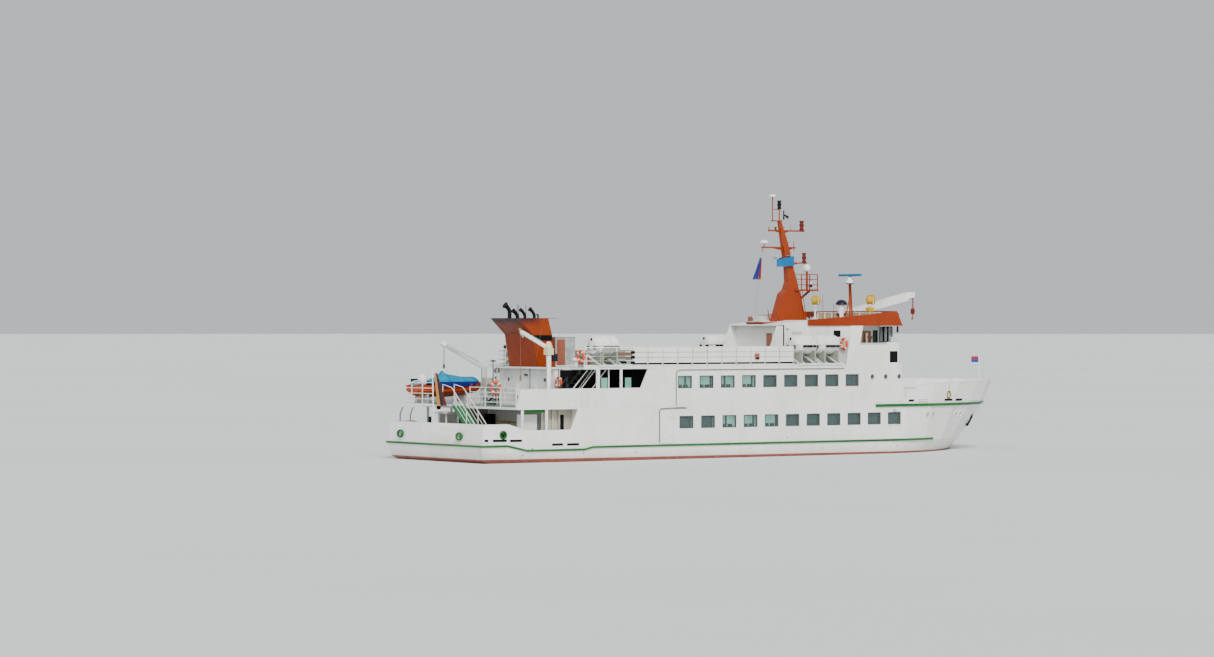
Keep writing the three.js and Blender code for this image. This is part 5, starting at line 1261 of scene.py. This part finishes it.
def mast_lamps():
    """Stacked lamps, aerial domes, deck lights and the horn on the mast."""
    red_caps, black_caps, red_lenses, clear, domes = meshes(5)
    stacked_lamp(red_caps, red_lenses, 5.72, 12.96, 13.5, 0.11, 2)
    stacked_lamp(red_caps, red_lenses, 5.90, 11.08, 11.62, 0.10, 2)
    stacked_lamp(black_caps, black_caps, 4.08, 14.17, 14.65, 0.095, 2)
    stacked_lamp(red_caps, red_lenses, 3.81, 12.94, 13.12, 0.045, 1)
    turned(domes, 2.97, 0, AFT_DOME, 22)
    turned(domes, 6.11, 0, FORE_DOME, 24)
    turned(domes, 3.59, 0, TOP_DOME, 22)
    box(clear, (4.45, -0.3, 11.42), (4.85, 0.3, 11.47))
    ball(domes, (6.2, -0.22, 9.86), 0.09, steps=12)
    box(black_caps, (6.12, -0.3, 9.62), (6.28, -0.14, 9.78))
    horn = Vector((4.31, -0.13, 13.84))
    rod(black_caps, horn - Vector((0, 0, 0.3)), horn + Vector((0, 0, 0.24)), 0.05, 10, 0.035)
    rod(black_caps, horn, horn + Vector((0.3, 0, -0.16)), 0.03, 12, 0.085)
    piece("mast_lamp_caps", red_caps, DARK_RED)
    piece("mast_lamp_lenses", red_lenses, LAMP_LENS)
    piece("mast_top_lamp", black_caps, RUBBER)
    piece("mast_domes", domes, WHITE)
    piece("mast_deck_lights", clear, LAMP_GLASS, bevel=0.006)


def mast_fittings():
    """Boards, gussets, aerials, rungs, cable pipes and the floodlight on the mast."""
    boards, irons, floods = meshes(3)
    for side in SIDES:
        y = side * 0.37
        aft, low, high = (3.63, 10.79, 11.19) if side < 0 else (4.2, 10.82, 11.3)
        outline = [(aft, y, low), (4.89, y, 10.86), (4.89, y, 11.43), (aft, y, high)]
        plate(boards, outline, (0, -side * 0.035, 0))
        for x, z in ((4.4, 10.95), (4.72, 10.95), (4.4, 11.2), (4.7, 11.25)):
            rod(irons, (x, side * 0.15, z), (x, side * 0.36, z), 0.025, 6)
        for x in (5.36, 5.5):
            foot = x + 0.3
            pipe(irons, [(x, side * 0.33, 9.4), (foot, side * 0.34, 7.9), (foot, side * 0.4, 7.47)], 0.022, 6)
        rod(irons, (3.5, side * 0.34, 8.35), (3.85, side * 0.6, 7.6), 0.022, 6)
    for outline in [
        [(3.42, 11.9), (4.3, 11.9), (4.36, 11.55), (4.16, 11.78)],
        [(4.64, 11.9), (5.1, 11.9), (4.74, 11.72), (4.7, 11.62)],
        [(3.6, 12.88), (4.16, 12.88), (4.18, 12.66), (4.02, 12.8)],
        [(4.32, 12.88), (4.86, 12.88), (4.46, 12.76), (4.4, 12.66)],
        [(4.9, 11.0), (5.45, 11.0), (5.0, 10.88), (4.94, 10.76)],
    ]:
        plate(irons, [(x, -0.025, z) for x, z in outline], (0, 0.05, 0))
    for x, foot, head, radius in [
        (3.32, 12.84, 13.12, 0.03),
        (4.9, 12.9, 13.24, 0.012),
        (5.14, 11.72, 12.28, 0.022),
        (2.88, 11.64, 11.92, 0.024),
    ]:
        rod(irons, (x, 0, foot), (x, 0, head), radius, 8)
    for i in range(13):
        z = 9.62 + 0.29 * i
        x = between(MAST_EDGE, z)
        rung(irons, x - 0.05, x + 0.13, 0, 0.13, z, 0.013)
    place = facing((3.56, -0.34, 11.33), (-0.75, -0.2, -0.55))
    box(floods, (-0.16, -0.1, -0.06), (0.16, 0.1, 0.05), place)
    rod(irons, (3.6, -0.3, 11.3), (4.3, -0.12, 11.15), 0.02, 6)
    piece("signal_boards", boards, BLUE, bevel=0.006)
    piece("mast_ironwork", irons, ORANGE)
    piece("mast_floodlight", floods, GREY, bevel=0.01)


def rigging():
    """The mast's halyards and the line from the side davit to the deck, drawn taut."""
    lines = bmesh.new()
    rod(lines, (2.88, 0.0, 11.88), (2.30, 0.0, 7.68), 0.008, 5)
    rod(lines, (2.84, 0.06, 11.88), (2.26, 0.06, 7.68), 0.006, 5)
    rod(lines, (-14.6, -3.2, 7.2), (-13.76, -1.2, 5.13), 0.006, 5)
    piece("halyards", lines, STEEL)


def bunting(name, finish, head, along, size, folds, gather, lean=(0, 0, 0)):
    """Cloth gathered in upright folds along a direction, hanging straight down from its head."""
    run, drop = size
    bm = bmesh.new()
    bm.loops.layers.uv.new("cut")
    bmesh.ops.create_grid(bm, x_segments=8 * folds, y_segments=12, size=0.5, calc_uvs=True)
    along = Vector(along).normalized()
    across = Vector((-along.y, along.x, 0))
    fall = math.sqrt(drop**2 - Vector(lean).length_squared)
    for v in bm.verts:
        a, b = v.co.x + 0.5, 0.5 - v.co.y
        tight = gather[0] + (gather[1] - gather[0]) * b
        swing = math.sqrt(1 - tight**2) * run / (2 * folds)
        wave = abs((a * folds) % 1 * 2 - 1) - 0.5
        v.co = Vector(head) + along * a * run * tight + across * wave * swing
        v.co += Vector((0, 0, -fall)) * b + Vector(lean) * b
    bmesh.ops.smooth_vert(bm, verts=bm.verts, factor=0.4, use_axis_x=True, use_axis_y=True)
    made = piece(name, bm, finish, crease=80)


def flags():
    ensign, jack, signal = (-19.38, 0.1, 4.8), (18.68, 0.0, 5.52), (2.72, -0.05, 11.3)
    bunting("ensign", ENSIGN, ensign, (1, -0.2, 0), (1.6, 1.8), 3, (0.07, 0.36), (0.2, 0, 0))
    bunting("jack", JACK, jack, (1, 0, 0), (0.62, 0.36), 2, (0.94, 0.94))
    bunting("signal_flag", SIGNAL, signal, (-1, 0.1, 0), (0.95, 1.25), 3, (0.08, 0.62), (-0.05, 0, 0))


# Stern
def mooring_gear():
    """The mooring deck's reel, bollards, boxes, coiled rope and inner panels."""
    green, white, dark, coil, iron, grey = meshes(6)
    for side in SIDES:
        box(white, (-16.7, side * 3.95, MAIN_DECK), (-15.5, side * 4.1, 2.58))
        for i in range(3):
            box(grey, (-15.1 + 0.42 * i, side * 4.3, MAIN_DECK), (-15.0 + 0.42 * i, side * 4.36, 2.84))
        box(grey, (-15.3, side * 4.2, MAIN_DECK), (-13.32, side * 4.24, 2.84))
        box(dark, (-14.2, side * 4.24, 1.7), (-13.85, side * 4.262, 2.55))
        for x in (-18.7, -16.2):
            for dx in (-0.2, 0.2):
                turned(iron, x + dx, side * 4.0, BOLLARD)
            box(iron, (x - 0.4, side * 4.0 - 0.18, 0.725), (x + 0.4, side * 4.0 + 0.18, 0.78))
    box(dark, (-13.75, 3.35, 1.85), (-13.4, 3.95, 2.42))
    box(green, (-16.85, -4.75, 2.7), (-15.29, -4.55, 2.92))
    for i in range(5):
        hoop(coil, Matrix.Translation((-14.6, 1.9, 0.76 + 0.05 * i)), 0.42 - 0.03 * (i % 2), 0.03, 24, 6)
    rod(coil, (-13.55, 0.9, 2.02), (-13.55, 2.9, 2.02), 0.045, 8)
    drum = facing((-15.3, -0.4, 1.25), (0, 1, 0))
    spun(iron, MOORING_REEL, drum, 22)
    box(iron, (-15.6, -1.0, 0.725), (-15.0, 0.2, 0.92))
    box(white, (-18.85, 0.72, 2.56), (-17.72, 1.3, 2.64))
    rod(white, (-18.1, 1.0, MAIN_DECK), (-18.1, 1.0, 2.57), 0.05, 10)
    rod(dark, (-19.3, 0.75, 2.1), (-19.3, 0.75, 2.42), 0.09, 12)
    turned(dark, -18.3, 1.45, STERN_LAMP, 14)
    piece("mooring_beams", green, GREEN, bevel=0.01)
    piece("mooring_screens", grey, BEIGE_GREY, bevel=0.006)
    piece("mooring_panels", white, WHITE, bevel=0.006)
    piece("mooring_boxes", dark, BLACK_AND_SHADE, bevel=0.01)
    piece("rope_coil", coil, YELLOW)
    piece("mooring_iron", iron, GREEN, bevel=0.006)


def stern_trim():
    """The stern stair's soffit and handrails, the gates' seams, the passages' walls in near-black as painted
    shade, partly dark windows, with glowing panels of painted daylight, and posts.
    """
    stair, staff, seams, dark, mint, posts = meshes(6)
    soffit = [(-18.33, -2.86, 0.74), (-17.63, -2.86, 0.74), (-17.63, -0.1, 3.03), (-18.33, -0.1, 3.03)]
    plate(stair, soffit, (0, 0.02, -0.03))
    rod(staff, (-19.36, 0.29, 2.1), (-19.43, 0.29, 4.3), 0.018, 8)
    for x in (-18.35, -17.61):
        pipe(staff, [(x, -0.17, 3.86), (x, 0.1, 4.02), (x, 0.95, 4.16)], 0.022, 8)
        for drop in (0.32, 0.64):
            pipe(staff, [(x, -2.75, 1.68 - drop), (x, -0.15, 3.84 - drop)], 0.014, 6)
        rod(staff, (x, 0.95, 3.08), (x, 0.95, 4.16), 0.022, 8)
    rod(staff, (-19.47, 0.22, 4.93), (-19.47, 0.22, 5.0), 0.045, 10, 0.03)
    for side in SIDES:
        y = side * 4.878
        place = facing((-12.65, y, 3.4), (0, side, 0))
        window_frame(seams, place, 0.98, 0.98, 0.014, 0.003, 0.006)
        box(seams, (-0.02, -0.49, -0.003), (-0.01, 0.49, 0.005), place)
        for x in (-13.0, -12.3):
            ball(seams, (x, y, 2.88), 0.03, steps=8)
        # Near-black inner wall and end wall of the shaded passage: painted shade, partly dark windows.
        box(dark, (-13.25, side * 2.795, 3.1), (-8.33, side * 2.815, 4.95))
        box(dark, (-8.345, side * 2.83, 3.0), (-8.325, side * 4.76, 4.95))
        # Mint panels that glow: painted daylight through the house.
        for x in (-10.2, -8.6):
            box(mint, (x - 0.2, side * 2.812, 3.75), (x + 0.2, side * 2.83, 4.5))
        rod(posts, (-13.5, side * 3.3, UPPER_DECK), (-13.5, side * 3.3, 4.98), 0.025, 8)
        for foot, head, out in [
            (-13.3, -12.1, 4.0),
            (-12.75, -11.55, 3.95),
            (-12.45, -11.3, 3.3),
            (-12.1, -10.95, 4.1),
        ]:
            rod(posts, (foot, side * out, 3.7), (head, side * out, 4.98), 0.03, 8)
        rod(posts, (-11.06, side * 4.5, UPPER_DECK), (-11.06, side * 4.5, 5.01), 0.035, 8)
    piece("stair_soffit", stair, STAIR_GREEN)
    piece("flag_staff_pair", staff, WHITE)
    piece("gate_seams", seams, GREY)
    piece("passage_windows_and_shade", dark, BLACK_AND_SHADE, bevel=0.01)
    piece("passage_daylight_panels", mint, DAYLIGHT_GLOW)
    piece("passage_posts", posts, WHITE)


def house_doors():
    """The aft house's doors with their round windows and handles, and boxes beside them."""
    doors, lights, handles = meshes(3)
    for side in SIDES:
        y = side * 1.825
        box(doors, (-13.47, y - 0.36, 3.09), (-13.43, y + 0.36, 4.88))
        hoop(handles, facing((-13.47, y, 4.4), (-1, 0, 0)), 0.1, 0.02, 20, 6)
        disc(lights, facing((-13.47, y, 4.4), (-1, 0, 0)), 0.095, 0, 0.012, 18, 0.014)
        box(handles, (-13.53, y + 0.22, 3.85), (-13.47, y + 0.3, 3.9))
        box(doors, (-13.62, side * 0.9 - 0.2, 3.5), (-13.51, side * 0.9 + 0.2, 4.1))
        for z in (3.4, 4.5):
            box(handles, (-13.5, y - 0.4, z - 0.05), (-13.46, y - 0.33, z + 0.05))
    rod(handles, (-13.53, -0.4, 3.2), (-13.53, -0.4, 4.95), 0.03, 8)
    box(lights, (-13.56, -0.15, 4.6), (-13.5, 0.15, 4.72))
    piece("house_door_leaves", doors, WHITE, bevel=0.008)
    piece("house_door_lights", lights, GASKET)
    piece("house_door_handles", handles, STEEL)


# Boats and davits
def boat_cover():
    """The cover over the rescue boat: one cloth from gunwale to gunwale, held up at the hoisting hook."""
    stations = [
        (-18.1, 0.84, 4.13, 4.36),
        (-17.8, 0.87, 4.12, 4.5),
        (-17.45, 0.9, 4.12, 4.66),
        (-17.27, 0.91, 4.12, 4.78),
        (-17.15, 0.91, 4.12, 5.04),
        (-17.03, 0.91, 4.12, 4.84),
        (-16.7, 0.89, 4.13, 4.74),
        (-16.2, 0.82, 4.15, 4.6),
        (-15.7, 0.72, 4.18, 4.55),
        (-15.25, 0.56, 4.2, 4.57),
        (-14.98, 0.36, 4.24, 4.5),
        (-14.78, 0.15, 4.27, 4.36),
    ]
    across = [-1.06, -1.05, -1.0, -0.8, -0.55, -0.3, -0.1, 0.1, 0.3, 0.55, 0.8, 1.0, 1.05, 1.06]
    bm, rows = bmesh.new(), []
    for i, (x, half, edge, ridge) in enumerate(stations):
        row = []
        for t in across:
            rise = 1 - abs(t) ** (1.0 if i < 7 else 1.5) if abs(t) < 1 else 0
            slack = 0.03 * math.sin(2.1 * i + 3.7 * t) * rise
            hem = {1.05: -0.06, 1.06: -0.14}.get(abs(t), 0)
            row.append(bm.verts.new((x, BOAT_Y + half * t, edge + (ridge - edge) * rise + slack + hem)))
        rows.append([bm.edges.new(pair) for pair in zip(row, row[1:])])
    for a, b in zip(rows, rows[1:]):
        bmesh.ops.bridge_loops(bm, edges=a + b)
    bmesh.ops.remove_doubles(bm, verts=bm.verts, dist=1e-5)
    cover = piece("boat_cover_cloth", bm, COVER, crease=70)
    soft = cover.modifiers.new("soft", "SUBSURF")
    soft.levels = soft.render_levels = 2
    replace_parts(cover, "boat_cover")


def boat_gear():
    """The boat's rubbing rope, grab lines, straps, cockpit, engine and folded cloth."""
    ropes, straps, engine, floor, tarp = meshes(5)
    stations = [
        (-19.04, 0.70, 4.06),
        (-18.4, 0.86, 4.05),
        (-17.0, 0.92, 4.05),
        (-15.6, 0.72, 4.12),
        (-14.9, 0.33, 4.18),
        (-14.62, 0.06, 4.21),
    ]
    for side in SIDES:
        line = [(x, BOAT_Y + side * (half + 0.015), z) for x, half, z in stations]
        pipe(ropes, [(x, y, z - 0.24) for x, y, z in line], 0.03, 8)
        for a, b in zip(line[:3], line[1:4]):
            for i in range(3):
                t0, t1 = i / 3, (i + 1) / 3
                p0, p1 = Vector(a).lerp(b, t0), Vector(a).lerp(b, t1)
                dip = (p0 + p1) / 2 + Vector((0, side * 0.01, -0.13))
                pipe(straps, [p0, dip, p1], 0.012, 6)
        for x in (-17.9, -16.2, -15.2):
            half = 0.93 if x < -16.5 else 0.8 if x < -16 else 0.55
            foot = BOAT_Y + side * half * 0.8
            rod(straps, (x, BOAT_Y + side * (half + 0.02), 4.12), (x, foot, 3.62), 0.02, 6)
    box(floor, (-18.98, 2.42, 4.06), (-18.1, 3.58, 4.13))
    turned(engine, -18.55, 2.75, ENGINE, 20)
    box(floor, (-18.9, 3.0, 4.1), (-18.35, 3.45, 4.45))
    ball(tarp, (-18.85, 2.85, 4.2), 0.24, (1.2, 1.9, 0.75), 14)
    pipe(straps, [(-18.95, 2.32, 4.1), (-19.02, 2.26, 3.7), (-19.0, 2.25, 3.3)], 0.025, 6)
    piece("boat_fender_rope", ropes, BOAT)
    piece("boat_lines", straps, BUOY)
    piece("boat_engine", engine, WHITE)
    piece("boat_cockpit", floor, BLACK_AND_SHADE, bevel=0.02)
    piece("boat_tarp", tarp, TARP)


def davit_parts():
    """Caps, drums, winches, hoses and chains on both davits, and the vent beside them."""
    chain, iron, pale, blue = meshes(4)
    knee, tip = DAVIT_KNEE, DAVIT_TIP
    way = (tip - knee).normalized()
    rod(pale, tip - way * 0.12, tip + way * 0.2, 0.17, 14)
    lift = Vector((0, 0, 0.2))
    rod(pale, knee + lift, tip - way * 0.5 + lift * 0.85, 0.014, 6)
    rod(iron, knee + way * 0.1 - lift * 0.35, tip - way * 0.3 - lift * 0.35, 0.03, 8)
    rod(iron, knee + way * 0.3 + lift * 0.8, knee + way * 1.5 + lift * 0.8, 0.02, 6)
    hanging_chain(chain, tip.x, tip.y, 6.05, 9, 0.05, 0.012)
    turned(chain, tip.x, tip.y, DAVIT_HOOK, 14)
    piece("davit_cap", pale, WHITE, "davit_arm")
    piece("davit_hoses", iron, RUBBER, "davit_arm")
    piece("davit_chain", chain, BRASS_RED, "davit_arm")
    drum, base, vent = meshes(3)
    spun(drum, DAVIT_DRUM, facing((-14.95, 1.1, 3.95), (1, 0, 0)), 22)
    box(base, (-15.3, 1.35, 3.9), (-14.85, 1.75, 4.5))
    rod(base, (-14.75, 1.05, UPPER_DECK), (-14.75, 1.05, 5.0), 0.035, 8)
    rod(vent, (-14.92, 1.2, UPPER_DECK), (-14.92, 1.2, 5.42), 0.03, 8)
    turned(vent, -14.92, 1.2, [(0, 5.38), (0.17, 5.38), (0.17, 5.43), (0.06, 5.49), (0, 5.49)])
    disc(vent, facing((-14.72, 1.1, 4.89), (-0.6, -0.8, 0)), 0.17, -0.05, 0.05, 20)
    rod(vent, (-14.72, 1.1, 4.89), (-14.92, 1.2, 4.89), 0.04, 8)
    piece("davit_vent", vent, GASKET)
    piece("davit_drum", drum, STEEL)
    piece("davit_control_box", base, BEIGE_GREY, bevel=0.01)
    post = SIDE_DAVIT_HEAD
    way = (SIDE_DAVIT_TIP - post).normalized()
    side_irons, fall = meshes(2)
    ball(side_irons, post + Vector((0, 0, 0.02)), 0.22, (1, 1, 0.9), 14)
    box(side_irons, post - Vector((0.2, 0.2, 0.4)), post + Vector((0.2, 0.2, -0.05)))
    disc(side_irons, facing(post + Vector((0, 0, 0.18)), (0.4, 0.6, 0)), 0.15, -0.16, 0.16, 18)
    rod(fall, post + way * 0.4 + Vector((0, 0, 0.14)), post + way * 1.5 + Vector((0, 0, 0.13)), 0.012, 6)
    disc(fall, facing(post + way * 1.62, (0.5, 0.85, 0)), 0.12, -0.05, 0.05, 16)
    box(blue, post + Vector((0.18, -0.15, -0.75)), post + Vector((0.5, 0.2, -0.35)))
    piece("side_davit_head", side_irons, PALE_YELLOW, "side_davit", bevel=0.01)
    piece("side_davit_sheave", fall, STEEL, "side_davit")
    piece("side_davit_winch", blue, NIGHT_BLUE, "side_davit", bevel=0.02)


# Foredeck
def crane_parts():
    """Ribs and edges of the jib, bands and hoses on the post, and the hook's chain."""
    ribs, bands, hoses, hook = meshes(4)
    foot, tip = CRANE_FOOT, CRANE_TIP
    run = Vector((tip.x - foot.x, tip.y - foot.y, 0))
    across = Vector((-run.y, run.x, 0)).normalized()
    way = (tip - foot).normalized()
    up = way.cross(across)
    length = (tip - foot).length - 0.35
    place = Matrix.Translation(foot) @ Matrix((across, up, way)).transposed().to_4x4()
    for face in SIDES:
        for edge in SIDES:
            a, b = face * 0.235, edge * 0.24
            box(ribs, (a - 0.02, b - 0.02, -0.15), (a + 0.02, b + 0.02, length), place)
        for i in range(6):
            z = 0.25 + i * (length - 0.6) / 5
            box(ribs, (face * 0.24 - 0.012, -0.24, z - 0.025), (face * 0.24 + 0.012, 0.24, z + 0.025), place)
    piece("jib_ribs", ribs, WHITE, "crane_jib", bevel=0.004)
    flat = run.normalized()
    lug = Vector((foot.x, foot.y, 6.75)) + flat * 0.36
    box(bands, lug - Vector((0.12, 0.12, 0.14)), lug + Vector((0.12, 0.12, 0.14)))
    for i in range(3):
        at = Vector((foot.x, foot.y, 0)) - flat * 0.33 + across * (0.09 * i - 0.09)
        rod(hoses, at + Vector((0, 0, 4.45)), at + Vector((0, 0, 7.45)), 0.022, 6)
    hoop(bands, Matrix.Translation((foot.x, foot.y, 4.5)), 0.36, 0.05, 24, 8)
    hoop(bands, Matrix.Translation((foot.x, foot.y, 7.45)), 0.31, 0.04, 24, 8)
    piece("crane_post_bands", bands, WHITE, "crane_post", bevel=0.006)
    piece("crane_hoses", hoses, RUBBER, "crane_post")
    hanging_chain(hook, tip.x, tip.y, 8.9, 5, 0.055, 0.013)
    for face in SIDES:
        cheek = Vector((tip.x, tip.y, 8.24)) + across * face * 0.1
        disc(hook, facing(cheek, across), 0.12, -0.02, 0.02, 16)
    piece("hook_chain", hook, DARK_RED, "crane_hook")


def foredeck_gear(side_of_ship):
    """The hatch's dogs and seams, vents, anchors, their chains and the rungs on the front."""
    dogs, vents, anchors, chain, ladders = meshes(5)
    for i in range(4):
        for side in SIDES:
            x = 13.2 + 0.4 * i
            box(dogs, (x - 0.03, side * 0.93 - 0.04, 3.0), (x + 0.03, side * 0.93 + 0.04, 3.24))
    box(dogs, (12.98, -0.92, 3.2), (14.62, 0.92, 3.235))
    box(dogs, (13.05, -0.04, 3.23), (14.55, 0.04, 3.27))
    for x, y in [(10.0, -4.2), (10.0, 4.2), (15.0, -2.6), (15.0, 2.6)]:
        turned(vents, x, y, DECK_VENT, foot=UPPER_DECK)
    for side in SIDES:
        links = [Vector((16.0 + 0.13 * i, side * (0.7 - 0.02 * i), 3.02)) for i in range(9)]
        for i, at in enumerate(links):
            turn = Matrix.Rotation(math.pi / 2 * (i % 2), 4, "X") @ Matrix.Diagonal((1.5, 1, 1, 1))
            hoop(chain, Matrix.Translation(at) @ turn, 0.05, 0.014, 12, 5)
        anchor(anchors, side_of_ship, side)
        for i in range(4):
            z = 3.25 + 0.28 * i
            rung(ladders, 9.45, 9.6, side * 3.0, 0.2, z, 0.014)
    piece("hatch_dogs", dogs, WHITE, bevel=0.006)
    piece("foredeck_vents", vents, WHITE)
    piece("anchors", anchors, RUBBER, bevel=0.01)
    piece("anchor_chain", chain, STEEL)
    piece("front_rungs", ladders, WHITE)


def anchor(bm, side_of_ship, side):
    """A stockless anchor in its pocket below the bow strake."""
    point, normal = on_side(side_of_ship, 16.55, 1.72, side)
    place = facing(point + normal * 0.05, normal)
    hoop(bm, place @ Matrix.Translation((0, 0.32, 0)), 0.13, 0.035, 20, 8)
    box(bm, (-0.045, -0.2, 0.0), (0.045, 0.35, 0.09), place)
    box(bm, (-0.3, -0.3, -0.02), (0.3, -0.18, 0.12), place)
    for face in SIDES:
        outline = [(face * 0.3, -0.3, 0.0), (face * 0.16, -0.28, 0.0), (face * 0.22, 0.12, 0.0)]
        plate(bm, [place @ Vector(p) for p in outline], normal * 0.1)


# Underwater
def underwater():
    """Zinc anodes, and the shafts' bearings and the propellers' caps."""
    zincs, bearings = meshes(2)
    for side in SIDES:
        for x in (-14.5, -12.0, -9.0, -4.0, 2.0, 7.0):
            box(zincs, (x - 0.2, side * 1.2 - 0.06, -1.63), (x + 0.2, side * 1.2 + 0.06, -1.59))
        hoop(bearings, facing((-16.75, side * 2.1, -1.06), (1, 0, 0)), 0.13, 0.035, 24, 8, 2.0)
        spun(bearings, SHAFT_CAP, facing((-17.42, side * 2.1, -1.06), (-1, 0, 0)), 18)
    piece("zinc_anodes", zincs, STEEL, bevel=0.01)
    piece("shaft_bearings", bearings, BRONZE)


def main_details():
    side_of_ship = surface(
        "hull", "lower_saloon", "forecastle", "upper_saloon", "stern_bulwark", "bow_bulwark"
    )
    saloon_windows()
    port_lights(side_of_ship)
    side_openings(side_of_ship)
    fairleads(side_of_ship)
    side_pipes()
    bow_cap()
    life_rafts()
    raft_ramps()
    dodger_bars()
    lifebuoys()
    benches()
    deck_boxes()
    house_screens()
    funnel_fittings()
    funnel_pipes()
    bridge_windows()
    bridge_fittings()
    roof_fittings()
    searchlight_parts()
    compass_parts()
    radar_parts()
    mast_lamps()
    mast_fittings()
    rigging()
    flags()
    mooring_gear()
    stern_trim()
    house_doors()
    boat_cover()
    boat_gear()
    davit_parts()
    crane_parts()
    foredeck_gear(side_of_ship)
    underwater()


def main():
    camera()
    daylight()
    paint_nodes()
    smooth_nodes()
    main_details()


def floor():
    bm = bmesh.new()
    bmesh.ops.create_circle(bm, cap_ends=True, segments=64, radius=2500)
    mesh = bpy.data.meshes.new("floor")
    bm.to_mesh(mesh)
    bm.free()
    f = Finish("floor_pale", roughness=0.9)
    f.set("Base Color", f.mix(f.band(f.noise(0.02), 0.3, 0.7), tone("d9dbda"), tone("d3d6d5")))
    mesh.materials.append(f.material)
    ground = bpy.data.objects.new("floor", mesh)
    bpy.context.scene.collection.objects.link(ground)


main()
floor()
